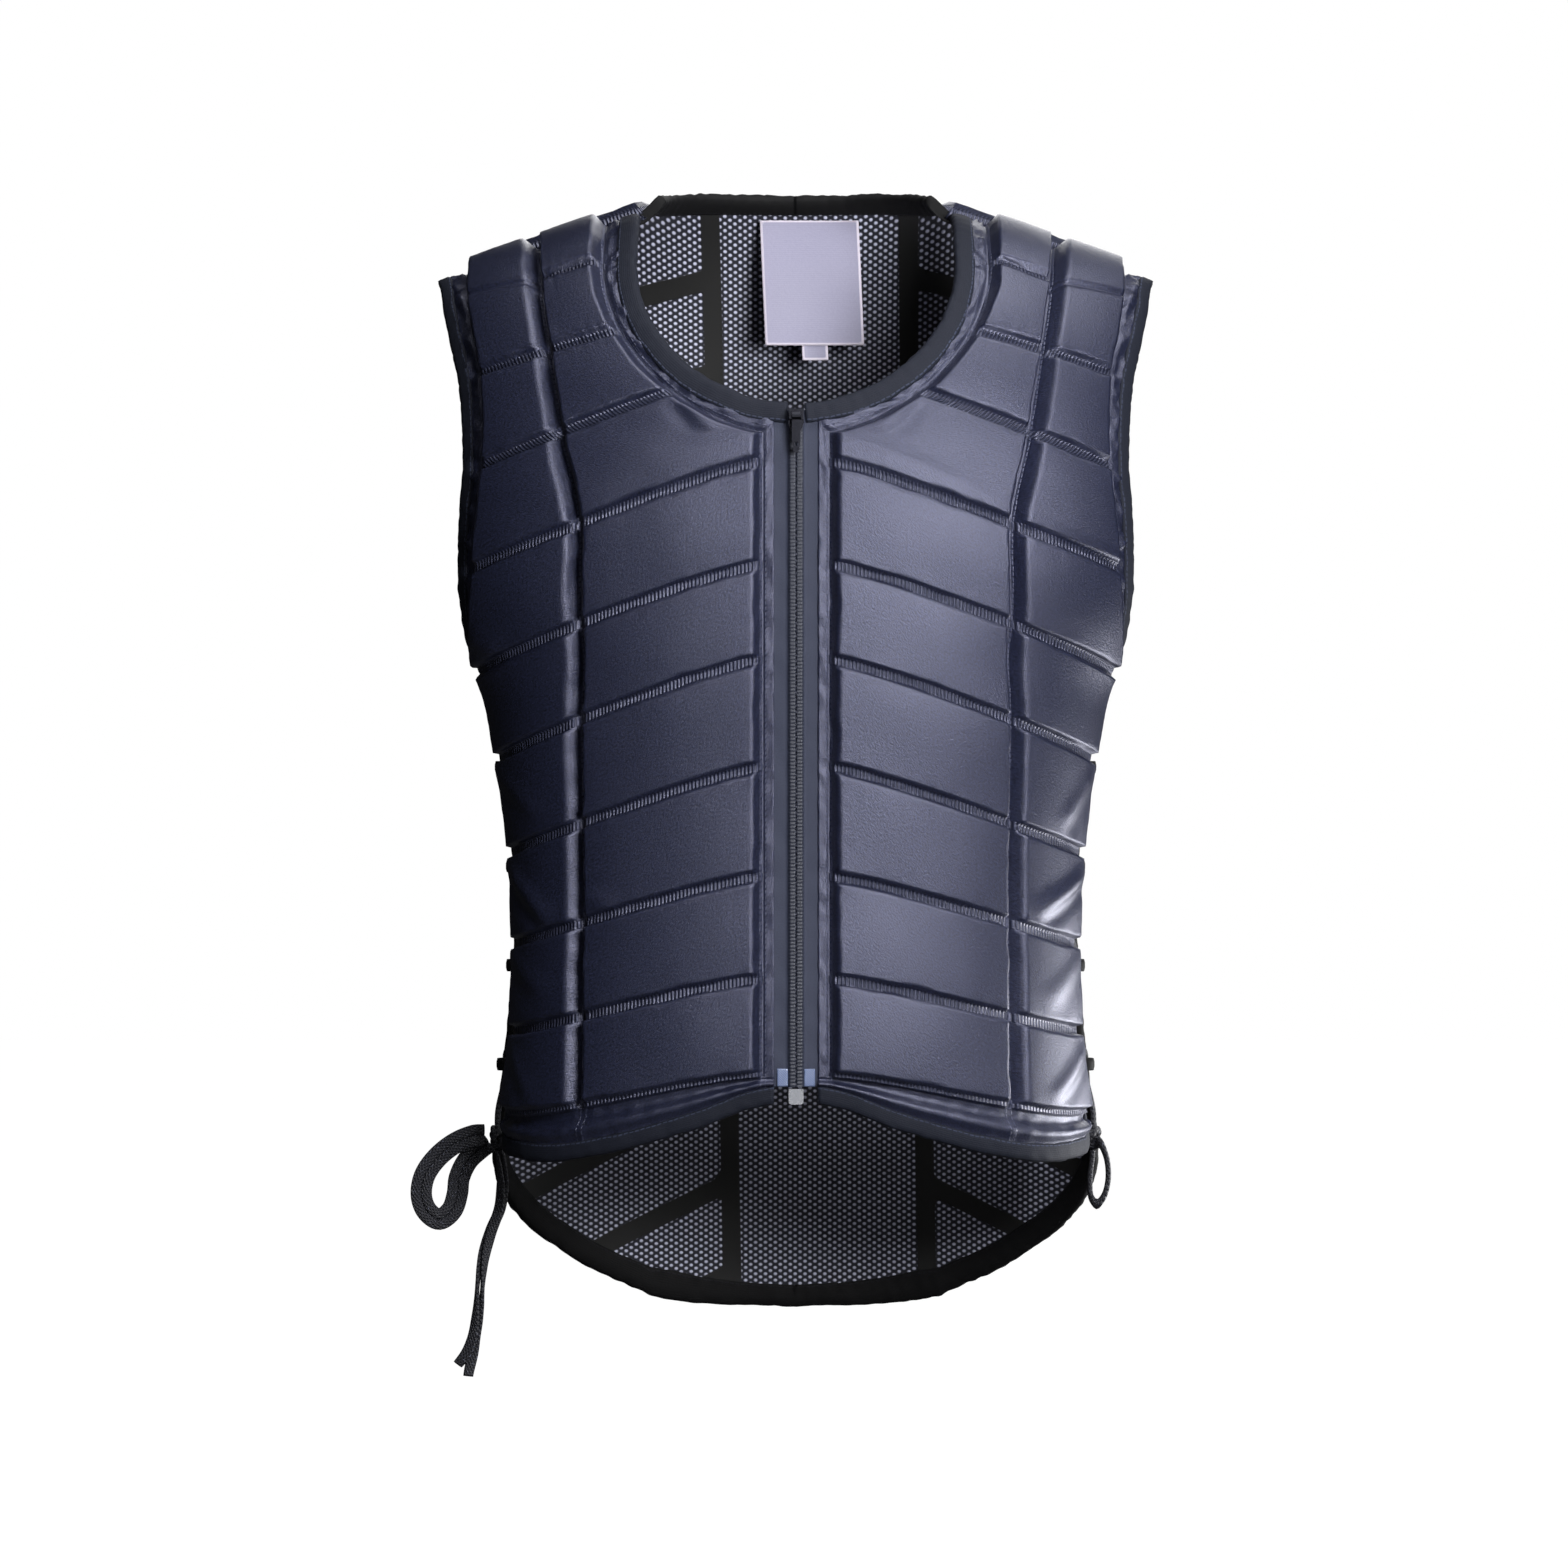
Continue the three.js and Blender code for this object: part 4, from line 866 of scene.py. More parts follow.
def front_spots(at, places):
    """Spots of a front half at each row stop and column. Below row 10 they run on to the hem, whose
    outer corner is cut round."""
    lines = front_lines(np.minimum(at, 10))
    spots = np.concatenate([
        lines[a][:, :, None] * (1 - share) + lines[b][:, :, None] * share for a, b, share in places
    ], 2)
    to_edge = np.concatenate([share if b == "edge" else 0 * share for a, b, share in places])
    x = shell(FRONT, spots[0], spots[1])[..., 0]
    cut = 8 * to_edge**2
    hem = hem_spot(FRONT_HEM, FRONT_LENGTH, FRONT, np.minimum(x - cut, HEM_REACH * TORSO_HALF_WIDTH))
    lift = cut / TORSO_HALF_DEPTH
    below = np.clip(at - 10, 0, 1)[:, None]
    return np.array([
        spots[0] - below * lift,
        spots[1] * (1 - below) + (hem[1] - 0.9 * cut / SHOULDER_ROLL) * below,
    ])


def add_folds(side, height, block, at, share_across, share_down):
    """Adds the ridges of the table: a rounded ridge along a line across one block, fading at both ends."""
    total = height.copy()
    wide, tall = 70, 52
    for index in np.flatnonzero(FOLDS["side"] == side):
        fold = {key: value[index] for key, value in FOLDS.items()}
        start = np.array([fold["from_across"] * wide, fold["from_down"] * tall])
        line = np.array([fold["to_across"] * wide, fold["to_down"] * tall]) - start
        length = np.hypot(*line)
        across, down = share_across * wide - start[0], share_down * tall - start[1]
        place = (across * line[0] + down * line[1]) / length**2
        away = (across * line[1] - down * line[0]) / length
        fade = np.clip(place * 4, 0, 1) * np.clip((1 - place) * 4, 0, 1)
        dip = np.exp(-((away - 1.6 * fold["width"]) / fold["width"]) ** 2)
        ridge = np.exp(-(away / fold["width"]) ** 2) - 0.6 * dip
        inside = (np.ceil(np.maximum(at, 0.01))[:, None] == fold["row"]) & (block == fold["block"])
        total += np.where(inside, fold["height"] * fade * ridge, 0)
    return total


def front_quilt(side, name):
    """A front half: its cover follows the blocks between the channels, and lies flat on the strips round
    them."""
    at, places = front_grid()
    spots = front_spots(at, places)
    base = on_cloth(FRONT, side, *spots)
    run_across, run_down = runs(base, 1), runs(base, 0)
    starts = np.cumsum([0] + [len(share) for _, _, share in places])
    inner, princess, outer = starts[1], starts[2], starts[3]
    rows = [int(np.argmin(np.abs(at - row))) for row in range(11)]
    zone = np.zeros(len(run_across[0]), int)
    zone[inner:princess], zone[princess:outer + 1] = 1, 2
    zone = np.broadcast_to(zone, run_across.shape)
    across = to_seams(run_across, 1, [inner, princess, outer])
    down_inner = to_seams(run_down, 0, rows)
    down_outer = to_seams(run_down, 0, rows[:1] + rows[2:])
    down = [np.where(zone == 2, a, b) for a, b in zip(down_outer, down_inner)]
    blocks = (zone > 0) & (at[:, None] <= 10)
    slopes = np.where(zone == 2, 1.45, 2.2), np.where(zone == 2, 2.5, 7)
    high = block_height(7 if side == LEFT else 23, down, across, slopes, run_across, run_down)
    crease = np.where(zone == 2, np.exp(-((at[:, None] - 1.03) / 0.035) ** 2), 0)
    crease_depth = 1.3 if side == LEFT else 2.2
    high = add_folds(side, high - crease_depth * crease, zone - 1, at, across[2], down_inner[2])
    loose = np.interp(at, [0, 3.6, 4.2, 10, 10.3], [1, 1, 0.35, 0.35, 0.3])[:, None]
    waves = 0.9 * ripple(run_across, run_down, 15, 31) + 0.5 * ripple(run_across, run_down, 8, 32)
    flat = 1.1 + loose * waves
    # Below the blocks the hem sags in one rounded fold under a shallow dip.
    sag = (3.2 * np.exp(-((at[:, None] - 10.62) / 0.2) ** 2)
           - 0.8 * np.exp(-((at[:, None] - 10.25) / 0.12) ** 2))
    height = np.where(blocks, high, np.maximum(flat, 0.1) + sag)
    facing_stitch = np.abs(run_across - FACING_STITCH) + SEAM_STITCH
    seam = three(np.where(blocks, np.minimum(down[0], down[1]), NONE_NEAR),
                 np.where(zone > 0, np.minimum(across[0], across[1]), facing_stitch))
    outer_side = on_cloth(FRONT, side, *spots, height)
    slack = 0.25 * ripple(run_across, run_down, 60, 5)
    inner_side = on_cloth(FRONT, side, *spots, -CLOTH_WALL + slack)
    piece = quilt(f"front_quilt_{name}", outer_side, inner_side,
                  {"run": three(run_across, run_down), "seam": seam}, np.full(outer_side.shape, NONE_NEAR))
    pads = [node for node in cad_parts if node.startswith(f"pad_{name}_")]
    on_vest(piece, "foam_cloth", f"front_panel_{name}", *pads)


def back_spots(at, shares):
    """Spots of a back half at each row stop, at shares of the way over its three strips: 0 is the
    middle, 1 the spine block's edge, 2 the side blocks' outer ends and 3 the cloth's edge."""
    lines = back_lines(at)
    ordered = np.stack([lines["middle"], lines["spine"], lines["outer"], lines["edge"]], 0)
    first = np.minimum(shares.astype(int), 2)
    part = (shares - first)[None, None, :]
    low = np.moveaxis(ordered[first], 0, -1)
    high = np.moveaxis(ordered[first + 1], 0, -1)
    spots = low * (1 - part) + high * part
    x = shell(BACK, spots[0], spots[1])[..., 0]
    above = np.clip(1 - at, 0, 1)[:, None] ** 3
    spots = spots * (1 - above) + back_top(x) * above
    # The tail's curve runs through rows 11 and 12, except in the bound strip at the side.
    tail = hem_spot(BACK_TAIL, BACK_LENGTH, BACK, np.minimum(x, TAIL_REACH * TORSO_HALF_WIDTH))
    row_ten = spots[:, np.argmin(np.abs(at - 10))][:, None]
    down = np.clip(at - 10, 0, 1)[:, None]
    last = np.clip(at - 11, 0, 1)[:, None]
    lower = row_ten * (1 - down) + moved(BACK, tail, 0, -TAIL_FACING) * down
    lower = lower * (1 - last) + tail * last
    inside = (at[:, None] > 10) * np.clip(3 - shares, 0, 1)
    return spots * (1 - inside) + lower * inside


def lining_band(points):
    """How far each point of the back's lining lies from the middle of a sewn tape: two tapes run down
    beside the spine, and slanted ones rise to them at the sides, one every LINING_TAPE_STEP."""
    x, z = points[..., 0], points[..., 2]
    across = np.abs(x - 8 + 0.02 * z) - 57
    slope = 0.3 - 0.0003 * z
    step = (z + 26 + slope * across) / LINING_TAPE_STEP
    slanted = np.abs(step - np.round(step)) * LINING_TAPE_STEP * np.cos(np.arctan(slope))
    return np.minimum(np.abs(across), np.where(across > 0, slanted, NONE_NEAR))


def back_quilt():
    """The back: side blocks from the spine block to the arms, in one cover from edge to edge."""
    rows = [stops_between(row, row + 1, 22)[:-1] for row in range(11)]
    at = np.concatenate([*rows, np.linspace(11, 12, 8)])
    spine, outer = 22, 62
    half = np.concatenate([stops_between(0, 1, spine)[:-1], stops_between(1, 2, outer - spine)[:-1],
                           np.linspace(2, 3, 7)])
    spots = back_spots(at, half)
    right = on_cloth(BACK, RIGHT, *spots)
    run_half, run_down = runs(right, 1), runs(right, 0)
    zone = np.broadcast_to(np.digitize(half, [1, 2.0001]), run_half.shape)
    rows = [int(np.argmin(np.abs(at - row))) for row in range(12)]
    breaks = [rows[row] for row in SPINE_BREAKS]
    to_spine = run_half[:, spine:spine + 1] - run_half
    sides = to_seams(run_half, 1, [spine, outer])
    across = [np.where(zone == 0, a, b) for a, b in zip((to_spine, to_spine, 0.5), sides)]
    down = [np.where(zone == 0, a, b) for a, b in
            zip(to_seams(run_down, 0, breaks), to_seams(run_down, 0, rows))]
    blocks = (zone < 2) & (at[:, None] <= 11)
    flat = 0.9 + 0.4 * ripple(run_half, run_down, 13, 61)

    def half_side(side, seed):
        high = block_height(seed, down, across, (2.6, 2.6), run_half, run_down)
        return np.where(blocks, high, np.maximum(flat, 0.1))

    def whole(left, right_half):
        return np.concatenate([left[:, :0:-1], right_half], 1)

    right_height, left_height = half_side(RIGHT, 41), half_side(LEFT, 52)
    join = np.linspace(1, 0, 12)[None, :]
    left_height[:, :12] = left_height[:, :12] * (1 - join) + right_height[:, :12] * join
    outer_side = whole(on_cloth(BACK, LEFT, *spots, left_height),
                       on_cloth(BACK, RIGHT, *spots, right_height))
    slack = 0.8 * ripple(run_half, run_down, 70, 71) * np.minimum(half, 1)
    inner_side = whole(on_cloth(BACK, LEFT, *spots, -CLOTH_WALL + slack),
                       on_cloth(BACK, RIGHT, *spots, -CLOTH_WALL + slack))
    run = whole(three(-run_half, run_down), three(run_half, run_down))
    seam_half = three(np.where(blocks, np.minimum(down[0], down[1]), NONE_NEAR),
                      np.where(zone < 2, np.abs(np.minimum(across[0], across[1])), NONE_NEAR))
    band = lining_band(inner_side)
    piece = quilt("back_quilt", outer_side, inner_side, {"run": run, "seam": whole(seam_half, seam_half)},
                  three(band, 0.0))
    on_vest(piece, "foam_cloth", "back_panel", "back_pads")


def ring_faces(count, around, start=0, closed=False):
    """Faces of rings of points joined one to the next, with a cap on each end unless the last meets the
    first."""
    index = np.arange(count * around).reshape(count, around) + start
    after = np.roll(index, -1, 1)
    walls = np.stack([index[:-1], after[:-1], after[1:], index[1:]], -1).reshape(-1, 4)
    if closed:
        join = np.stack([index[-1], after[-1], after[0], index[0]], -1)
        return [np.concatenate([walls, join])]
    return [walls, index[:1, ::-1], index[-1:]]


def resampled(spots, face, step):
    """Spots along a path at even steps of the length on the cloth, after the corners are rounded."""
    points = on_cloth(face, RIGHT, *spots)
    length = np.insert(np.cumsum(np.linalg.norm(np.diff(points, axis=0), axis=1)), 0, 0)
    places = np.linspace(0, length[-1], max(8, int(length[-1] / step)))
    return np.array([np.interp(places, length, spots[0]), np.interp(places, length, spots[1])])


def rounded(spots, reach):
    """The path with each spot replaced by the mean of its neighbours within a reach, its ends kept."""
    count = spots.shape[1]
    index = np.arange(count)
    window = np.minimum(np.minimum(index, count - 1 - index), reach)
    total = np.concatenate([np.zeros((2, 1)), np.cumsum(spots, 1)], 1)
    return (total[:, index + window + 1] - total[:, index - window]) / (2 * window + 1)


def strip_rings(face, side, spots, turn_right, profile, seed):
    """Rings of a binding: its profile, as reach out from the edge and height, at each spot of the path."""
    ahead = np.gradient(spots, axis=1)
    round_it, down_it = tangents(face, spots[0], spots[1])
    round_length, down_length = np.linalg.norm(round_it, axis=-1), np.linalg.norm(down_it, axis=-1)
    across, down = ahead[0] * round_length, ahead[1] * down_length
    size = np.hypot(across, down) * (1 if turn_right else -1)
    out_turn, out_roll = -down / size / round_length, across / size / down_length
    reach, height = profile[:, 0], profile[:, 1]
    run = runs(on_cloth(face, side, *spots)[:, None], 0)[:, 0]
    uneven = (0.22 * ripple(run[:, None], 5.0 * reach[None, :], 9, seed)
              + 0.2 * ripple(run[:, None], reach, 40, seed + 1))
    turn = spots[0][:, None] + out_turn[:, None] * (reach + uneven)
    roll = np.maximum(spots[1][:, None] + out_roll[:, None] * (reach + uneven), 0)
    lift = np.where(height > -CLOTH_WALL / 2, uneven, -uneven)
    return on_cloth(face, side, turn, roll, height[None, :] + lift), run


def tape_profile(width, overlap=1.2):
    """A folded tape's section, as reach and height: over the cloth's edge, round its fold, and back
    under it."""
    return np.array([
        (-overlap, 0.7), (-overlap + 0.3, 1.7), (0.2, 2), (width * 0.3, 2), (width * 0.6, 1.9),
        (width * 0.86, 1.6), (width * 0.96, 0.7), (width, -1), (width * 0.97, -2.8), (width * 0.86, -4),
        (width * 0.5, -4.4), (0.2, -4.4), (-overlap + 0.3, -4.1), (-overlap, -3.3),
    ])


def binding(name, legs, width, materials, slot, centres=()):
    """A binding from legs of one path, each on one face, with the lacing rings that are sewn to it.
    Where there are two cloths, the second, darker one is painted shade on the legs on the back."""
    profile = tape_profile(width)
    rings, lengths, done = [], [], 0.0
    for order, (face, side, spots, turn_right) in enumerate(legs):
        leg, run = strip_rings(face, side, spots, turn_right, profile, 80 + order)
        rings.append(leg)
        lengths.append(run + done)
        done = lengths[-1][-1]
    on_back = [int(leg[0] == BACK and len(materials) > 1) for leg in legs]
    on_back = np.repeat(on_back, [len(run) for run in lengths])
    rings, lengths = np.concatenate(rings), np.concatenate(lengths)
    count, around = rings.shape[:2]
    points = [rings.reshape(-1, 3)]
    reach = np.broadcast_to(profile[:, 0] + 1.2, (count, around))
    values = [three(reach, np.broadcast_to(lengths[:, None], reach.shape)).reshape(-1, 3)]
    faces = ring_faces(count, around)
    slots = [np.repeat(on_back[:-1], around), on_back[:1], on_back[-1:]]
    start = count * around
    for centre in centres:
        eye, eye_values = lacing_ring(centre)
        points.append(eye)
        values.append(eye_values)
        faces += ring_faces(20, 8, start, closed=True)
        slots.append(np.zeros(160, int))
        start += len(eye)
    piece = put_mesh(name, np.concatenate(points), faces, materials, slots, {"run": np.concatenate(values)})
    on_vest(piece, slot, name)


def lacing_ring(centre):
    """A ring of tape round a lace: a flat section with rounded corners, turned about an upright axis."""
    around = np.linspace(0, 2 * math.pi, 20, endpoint=False)[:, None]
    corner = np.linspace(0, 2 * math.pi, 8, endpoint=False)[None, :] + math.pi / 8
    out = EYE_RADIUS - EYE_WALL / 2 + 0.72 * EYE_WALL * np.cos(corner)
    up = 0.53 * EYE_HEIGHT * np.sin(corner)
    points = np.stack([centre[0] + out * np.cos(around), centre[1] + out * np.sin(around),
                       centre[2] + up + 0 * around], -1).reshape(-1, 3)
    return points, three(up + 4 + 0 * around, EYE_RADIUS * around + 0 * up).reshape(-1, 3)


def eye_centre(index, side):
    """Where a lacing ring sits: on the front's edge for even numbers, on the back's for odd ones."""
    face, degrees, width = (FRONT, FRONT_SIDE_TURN, FRONT_BINDING) if index % 2 == 0 else (
        BACK, BACK_SIDE_TURN, BACK_BINDING)
    z = -LACE_TOP - index * (LACE_BOTTOM - LACE_TOP) / (EYE_COUNT - 1)
    spot = moved(face, spot_on_turn(face, degrees, np.array([z])), width + EYE_RADIUS - 0.9)
    centre = on_cloth(face, side, *spot, -CLOTH_WALL / 2 + 0.3)[0]
    return np.array([centre[0], centre[1], z])


def bindings():
    """All the bound edges: the neckline, the armholes, each front's hem and side, and the back's sides
    and tail."""
    zip_end = math.asin((COIL_HALF + 1.5) / (NECK_HALF_WIDTH + NECK_BINDING))
    oval = neckline_spot(NECK_BINDING, np.linspace(zip_end, HALF_PI, 90))
    above = opening_spot(NECK_BINDING, ZIP_EDGE, np.linspace(0.95, 0.0, 20))
    front_neck = resampled(np.concatenate([oval, above], 1), FRONT, 1.6)
    back_neck = back_top(np.linspace(NECK_HALF_WIDTH + NECK_BINDING, 0.01, 120))
    back_neck = resampled(back_neck, BACK, 1.6)
    legs = [
        (FRONT, LEFT, front_neck, False),
        (BACK, LEFT, back_neck, True),
        (BACK, RIGHT, back_neck[:, ::-1], False),
        (FRONT, RIGHT, front_neck[:, ::-1], True),
    ]
    # Round the back of the neck the binding takes the black tape as painted shade; it is the same slate tape
    # all round.
    binding("neck_binding", legs, NECK_BINDING, [slate_tape, black_and_shaded_tape], "binding")

    arm_front = resampled(front_lines(np.linspace(4.85, 0.0, 160))["edge"], FRONT, 2)
    arm_back = resampled(back_lines(np.linspace(0.0, 4.35, 160))["edge"], BACK, 2)
    at, places = front_grid()
    hem = front_spots(np.array([11.0]), places)[:, 0]
    side_edge = front_lines(np.linspace(9.9, 4.85, 140))["edge"]
    front_edge = rounded(resampled(np.concatenate([hem, side_edge], 1), FRONT, 2), 5)
    tail_x = np.linspace(0.01, TAIL_BINDING_REACH * TORSO_HALF_WIDTH, 90)
    tail = hem_spot(BACK_TAIL, BACK_LENGTH, BACK, tail_x)
    back_side = back_lines(np.linspace(11.6, 4.8, 160))["edge"]
    back_edge = rounded(resampled(np.concatenate([tail, back_side], 1), BACK, 2), 6)
    eyes = {(first, side): [eye_centre(index, side) for index in range(first, EYE_COUNT, 2)]
            for first in (0, 1) for side in (LEFT, RIGHT)}
    for side, name in SIDES:
        binding(f"armhole_binding_{name}", [(FRONT, side, arm_front, True), (BACK, side, arm_back, False)],
                ARM_BINDING, [slate_tape], "binding")
        binding(f"front_binding_{name}", [(FRONT, side, front_edge, True)],
                FRONT_BINDING, [slate_tape], "binding", eyes[0, side])
    binding("back_binding", [(BACK, LEFT, back_edge[:, ::-1], False), (BACK, RIGHT, back_edge, True)],
            BACK_BINDING, [black_and_shaded_tape], "back_binding", eyes[1, LEFT] + eyes[1, RIGHT])


def zip_half(side, name):
    """A zip half: flat tape, with the coil's teeth as rounded bars across its meeting edge, and the
    square of film at its lower end."""
    x = np.concatenate([np.linspace(0.15, 3.9, 9), np.linspace(4.3, ZIP_TAPE_HALF + 1.6, 6)])
    z = -np.arange(NECK_FRONT_DROP + 4, ZIP_BOTTOM, COIL_PITCH / 4)
    grid_x, grid_z = np.meshgrid(x, z)
    spots = spot_at(FRONT, grid_x, grid_z)
    phase = (grid_z / COIL_PITCH + (0.5 if side == RIGHT else 0)) * math.pi
    ends = np.clip((COIL_HALF - grid_x) * 1.2, 0, 1) * np.clip(grid_x * 2 + 0.2, 0, 1)
    tooth = np.abs(np.sin(phase)) ** 0.6 * ends
    tape = 0.35 + 0.25 * ripple(grid_x, grid_z, 18, 90) * np.clip(grid_x - COIL_HALF, 0, 1)
    height = np.where(grid_x < COIL_HALF, COIL_BODY + (COIL_HEIGHT - COIL_BODY) * tooth, tape)
    outer = on_cloth(FRONT, side, *spots, height)
    under = on_cloth(FRONT, side, *spots, -1.4)
    points, faces = between_grids(outer, under)
    run = np.concatenate([three(grid_x, -grid_z).reshape(-1, 3)] * 2)
    piece = put_mesh(f"zip_half_{name}", points, faces, [zip_cloth], values={"run": run})
    on_vest(piece, "zip_tape", f"zip_half_{name}")

    low, high = -ZIP_BOTTOM + 0.5, -ZIP_BOTTOM + 10
    patch_x, patch_z = np.meshgrid(np.linspace(4.4, 10.2, 9), np.linspace(high, low, 12))
    patch = spot_at(FRONT, patch_x, patch_z)
    points, faces = between_grids(on_cloth(FRONT, side, *patch, 1.05), on_cloth(FRONT, side, *patch, 0.75))
    run = np.concatenate([three(patch_x, -patch_z).reshape(-1, 3)] * 2)
    square = put_mesh(f"zip_film_{name}", points, faces, [film], values={"run": run})
    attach(square, "vest")


def zip_metal():
    """The slider, its puller and the box at the lower end keep their solids, with their metals put on."""
    metals = {"zip_slider": black_metal, "zip_puller": black_metal, "zip_box": bright_metal}
    for name, material in metals.items():
        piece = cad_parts[name]
        piece.data.materials.clear()
        piece.data.materials.append(material)


def neck_label():
    """The blank label: a hanging sheet that bows a little forwards, with a short tab under it."""
    low, high = (np.array(corner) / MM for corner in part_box("neck_label"))
    width, tab_width, tab_height = 57.0, 15.0, 9.5
    tall = high[2] - low[2] - tab_height
    middle, seat = (low[0] + high[0]) / 2, high[1] - 0.6

    def part(half, top, bottom, count):
        u, v = np.meshgrid(np.linspace(-1, 1, count), np.linspace(0, 1, 3 * count // 2))
        down = top + (bottom - top) * v
        across = u * half
        forward = 0.9 * np.sin(down / tall * math.pi) + 0.5 * ripple(across, down, 60, 95) + 0.5 * u**2
        x = middle + across + 0.045 * down
        points = three(x, seat - forward - 0.6, high[2] - down)
        rim = np.minimum(np.minimum(half - np.abs(across), down - top + 0.4), bottom - down)
        back = points + np.array([0, 0.5, 0])
        mesh_points, faces = between_grids(points, back)
        value = three(across, down, rim).reshape(-1, 3)
        return mesh_points, faces, np.concatenate([value, value])

    sheet_points, sheet_faces, sheet_values = part(width / 2, 0, tall, 40)
    tab_points, tab_faces, tab_values = part(tab_width / 2, tall - 1.5, tall + tab_height - 1, 14)
    tab_points = tab_points + np.array([0, 0.7, 0])
    faces = sheet_faces + [group + len(sheet_points) for group in tab_faces]
    piece = put_mesh("neck_label", np.concatenate([sheet_points, tab_points]), faces, [label_cloth],
                     values={"run": np.concatenate([sheet_values, tab_values])})
    on_vest(piece, "label", "neck_label")


def knot_centre(side):
    """Where the knot of a side's lace sits."""
    return np.array(KNOT_PLACE, float) * (side, 1, 1)


def smooth_path(points, step=1.2):
    """A smooth curve through given points, by length along them, at even steps."""
    points = np.asarray(points, float)
    length = np.insert(np.cumsum(np.linalg.norm(np.diff(points, axis=0), axis=1)), 0, 0)
    table = {"at": length, 0: points[:, 0], 1: points[:, 1], 2: points[:, 2]}
    places = np.linspace(0, length[-1], int(length[-1] / step) + 2)
    return np.stack([along(table, "at", axis, places) for axis in range(3)], -1)


def cord_frame(path, flat_axis):
    """The way each ring of a flat cord faces: across its width, square to its run and to the flat axis,
    and through its thickness."""
    ahead = np.gradient(path, axis=0)
    ahead /= np.linalg.norm(ahead, axis=1, keepdims=True)
    across = np.cross(ahead, np.array(flat_axis, float))
    across /= np.linalg.norm(across, axis=1, keepdims=True)
    return across, np.cross(across, ahead)


def turned_frame(path, flat_axis, turn):
    """The frame of a flat cord, turned about its path by an angle at each ring."""
    across, through = cord_frame(path, flat_axis)
    cosine, sine = np.cos(turn)[..., None], np.sin(turn)[..., None]
    return across * cosine + through * sine, through * cosine - across * sine


def cord_rings(path, flat_axis, width, thickness, turn=0.0):
    """Rings of a flat cord with a rounded section along its path, turned about it by an angle at each
    ring."""
    across, through = turned_frame(path, flat_axis, turn)
    angle = np.linspace(0, 2 * math.pi, 14, endpoint=False)
    wide = np.sign(np.cos(angle)) * np.abs(np.cos(angle)) ** 0.8 * width / 2
    deep = np.sign(np.sin(angle)) * np.abs(np.sin(angle)) ** 0.9 * thickness / 2
    rings = path[:, None] + across[:, None] * wide[None, :, None] + through[:, None] * deep[None, :, None]
    run = runs(path[:, None], 0)
    values = three(wide[None, :] + 0 * run, run + 0 * wide[None, :])
    return rings.reshape(-1, 3), values.reshape(-1, 3)


def free_lace(name, node, path, flat_axis, turn=0.0):
    """A free lace along its path."""
    points, values = cord_rings(path, flat_axis, LACE_WIDTH, LACE_THICKNESS, turn)
    piece = put_mesh(name, points, ring_faces(len(path), 14), [cord_braid], values={"run": values})
    on_vest(piece, "lace", node)


def laces():
    """The bow at the left, the loop at the right, and the lace of each side through its rings to its
    knot."""
    to_back = (0, 1, 0)
    loop = smooth_path(np.array(LACE_LOOP_LEFT) + knot_centre(LEFT))
    across, _ = cord_frame(loop, to_back)
    beside = across * BOW_STRAND_OFFSET
    free_lace("bow_loop_outer_left", "lace_loop_left", loop + beside, to_back)
    free_lace("bow_loop_inner_left", "lace_loop_left", loop - beside, to_back)
    ends = smooth_path(np.array(LACE_ENDS_LEFT) + knot_centre(LEFT))
    # The two ends lie face to face and twist a little less than once round each other, then part over the
    # last fifth.
    share = np.linspace(0, 1, len(ends))
    turn = HALF_PI + BOW_END_TWIST * share
    _, through = turned_frame(ends, to_back, turn)
    across, _ = cord_frame(ends, to_back)
    part = np.clip(share * 5 - 4, 0, 1)[:, None] ** 1.5
    spread = through * (LACE_THICKNESS / 2 + 0.15) * (1 - part) + across * 4.6 * part
    free_lace("bow_end_front_left", "lace_ends_left", ends + spread, to_back, turn)
    free_lace("bow_end_back_left", "lace_ends_left", (ends - spread)[:-3], to_back, turn[:-3])
    edge_on = smooth_path(np.array(LACE_LOOP_RIGHT) + knot_centre(RIGHT))
    free_lace("bow_loop_right", "lace_loop_right", edge_on, (1, 0.2, 0))
    for side, name in SIDES:
        centres = [eye_centre(index, side) for index in range(EYE_COUNT)]
        reach = np.array([0, 0, EYE_HEIGHT / 2 + 2.5])
        stops = [point for centre in centres for point in (centre + reach, centre, centre - reach)]
        knot = knot_centre(side)
        path = smooth_path([*stops, knot + np.array([0, 4, 14]), knot], 1.6)
        points, values = cord_rings(path, (1, 0, 0), LACE_WIDTH, LACE_THICKNESS + 0.8)
        faces = ring_faces(len(path), 14)
        # The knot is a trefoil of the same cord, pulled tight.
        t = np.linspace(0, 2 * math.pi, 90, endpoint=False)
        trefoil = np.stack([np.sin(3 * t) * 2.6, np.sin(t) * 2.0 + 3.0 * np.sin(2 * t),
                            np.cos(t) * 2.0 - 3.0 * np.cos(2 * t)], -1) + knot
        knot_points, knot_values = cord_rings(trefoil, (1, 0.3, 0.2), LACE_WIDTH * 0.9, LACE_THICKNESS + 0.9)
        faces += ring_faces(90, 14, len(points), closed=True)
        piece = put_mesh(f"side_lace_{name}", np.concatenate([points, knot_points]), faces, [cord_braid],
                         values={"run": np.concatenate([values, knot_values])})
        on_vest(piece, "lace", f"side_lace_{name}")


def seen_only(tree, hidden, shown):
    """A strength that the camera sees, while what the scene is lit by is another."""
    seen = add(tree, "ShaderNodeLightPath", {}, {})["Is Camera Ray"]
    return add(tree, "ShaderNodeMapRange", {}, {"Value": seen, "To Min": hidden, "To Max": shown})[0]


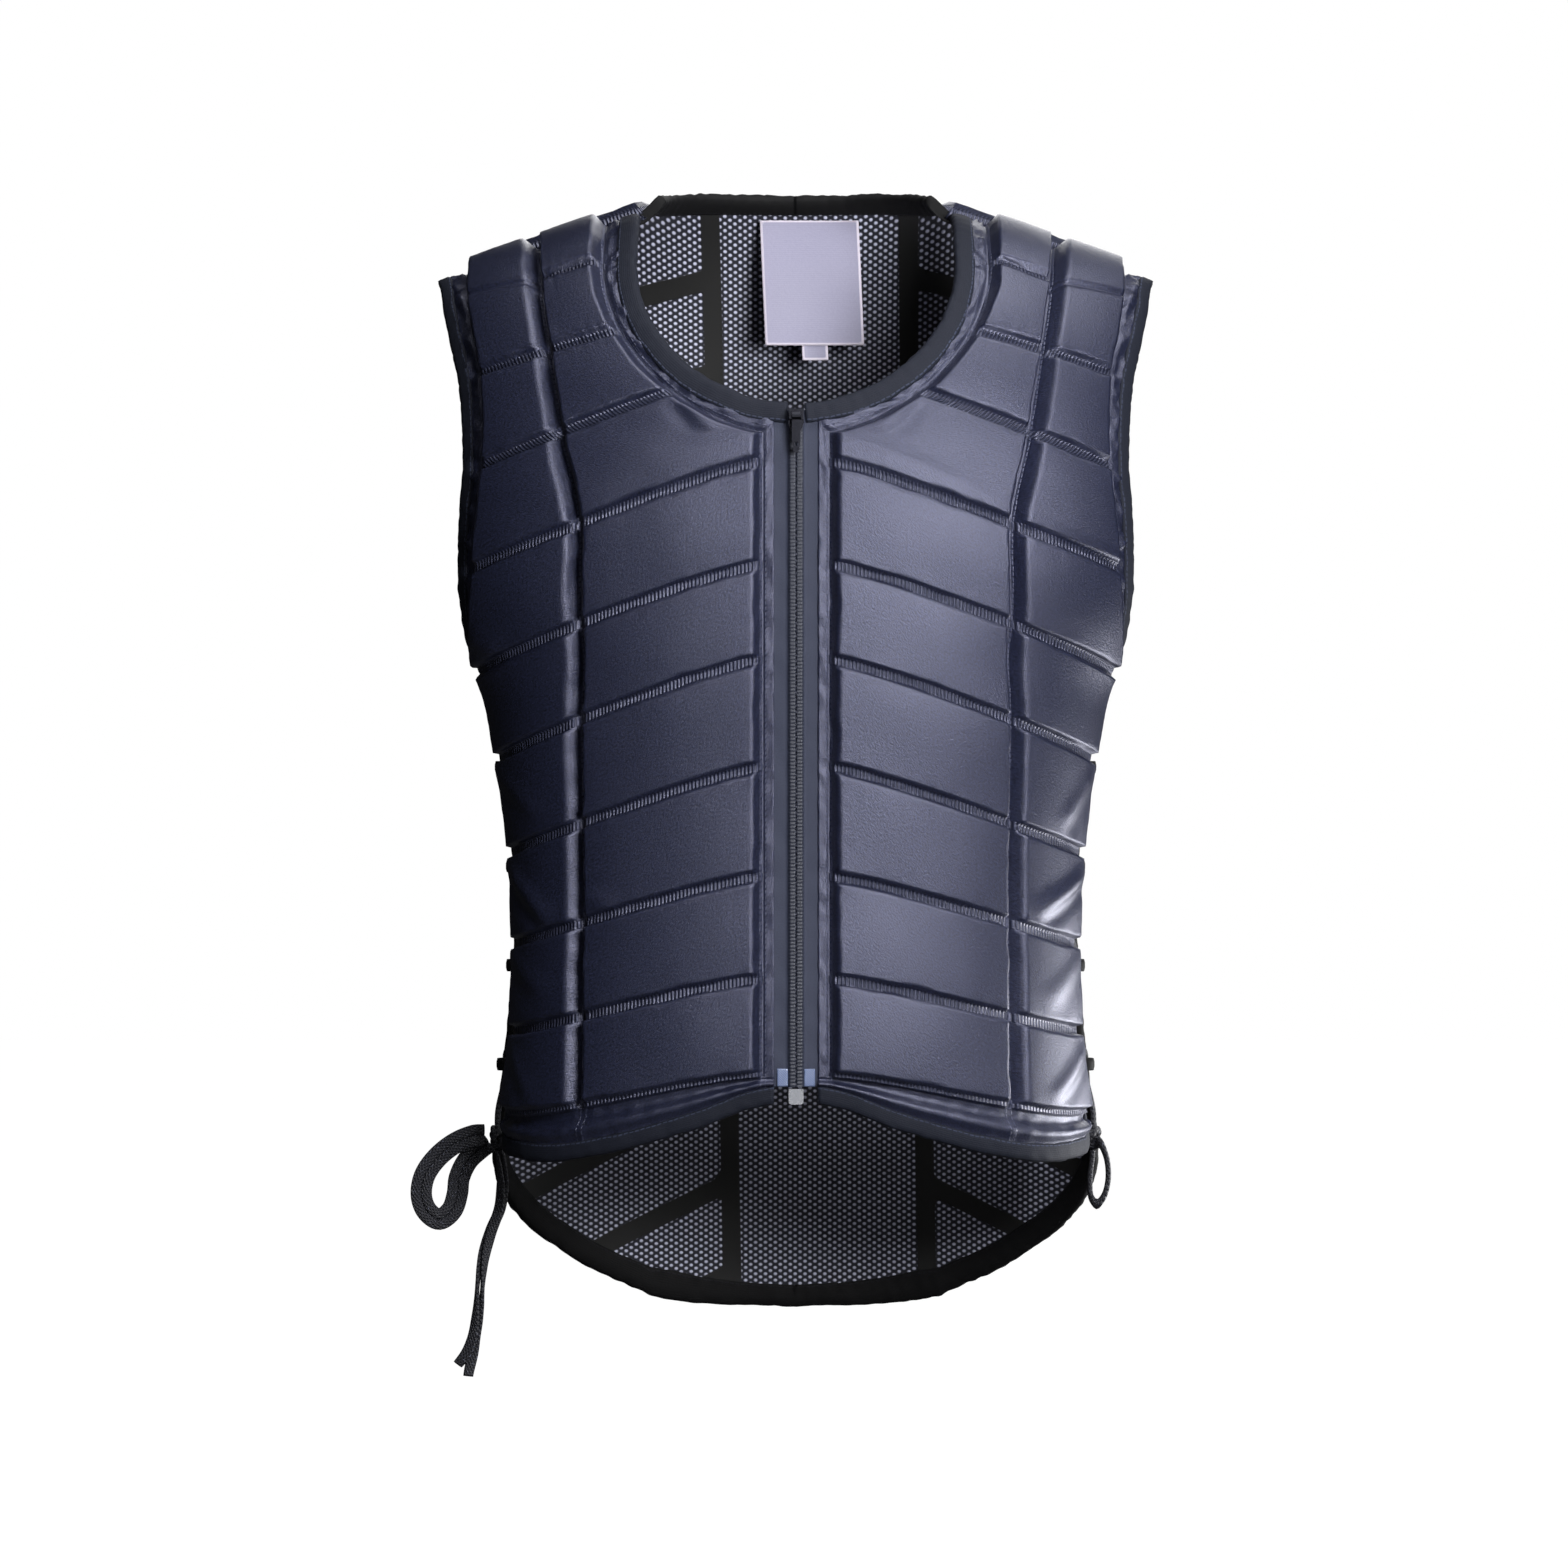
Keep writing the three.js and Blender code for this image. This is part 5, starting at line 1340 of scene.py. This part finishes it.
def studio():
    """A pale floor below the vest, a white surround, a key light at the right of the front, a weak fill
    at its left and another from below, two soft lights over the shoulders, a low narrow one from the
    right side and a broad one on the back."""
    x, y = np.meshgrid(np.linspace(-9000, 9000, 2), np.linspace(-9000, 9000, 2))
    floor_z = cad_box[0][2] / MM - 350
    floor = put_mesh("floor", three(x, y, floor_z).reshape(-1, 3), [grid_faces(2, 2)], [pale_floor()])
    scene = bpy.context.scene
    world = bpy.data.worlds.new("studio_surround")
    scene.world = world
    world.use_nodes = True
    tree = world.node_tree
    tree.links.new(seen_only(tree, SURROUND, 1.0), tree.nodes["Background"].inputs["Strength"])
    tree.nodes["Background"].inputs["Color"].default_value = (1, 1, 1, 1)
    middle = np.array([0, 0, LIGHT_MIDDLE])
    for name, azimuth, elevation, distance, size, power in LIGHTS:
        light = bpy.data.lights.new(name, "AREA")
        light.energy, light.size = power, size
        lamp = bpy.data.objects.new(name, light)
        round_it, up = math.radians(azimuth), math.radians(elevation)
        level = math.cos(up)
        away = np.array([math.sin(round_it) * level, -math.cos(round_it) * level, math.sin(up)])
        lamp.location = middle + away * distance
        lamp.rotation_euler = (HALF_PI - up, 0, round_it)
        lamp.visible_camera = False
        scene.collection.objects.link(lamp)
    scene.view_settings.view_transform = "Standard"


def pale_floor():
    """Matt studio floor: white where the camera sees it, and dark to the light, so that it throws none
    up."""
    material, tree, shader = new_material("matt_white_floor")
    shader.inputs["Base Color"].default_value = (0.05, 0.05, 0.05, 1)
    shader.inputs["Roughness"].default_value = 0.9
    shader.inputs["Emission Color"].default_value = (1, 1, 1, 1)
    tree.links.new(seen_only(tree, 0.0, 1.0), shader.inputs["Emission Strength"])
    return material


def camera():
    """The photograph's view: level, from the front at 2.4 m, a little left of the middle."""
    lens = bpy.data.cameras.new("camera")
    lens.sensor_width, lens.lens = 36, 97.9
    lens.clip_end = 100
    view = bpy.data.objects.new("camera", lens)
    view.location = (-0.0065, -2.4, -0.3195)
    view.rotation_euler = (HALF_PI, 0, 0)
    bpy.context.scene.collection.objects.link(view)
    bpy.context.scene.camera = view


camera()
laces()
for side_sign, side_name in SIDES:
    front_quilt(side_sign, side_name)
    zip_half(side_sign, side_name)
back_quilt()
bindings()
zip_metal()
neck_label()
studio()
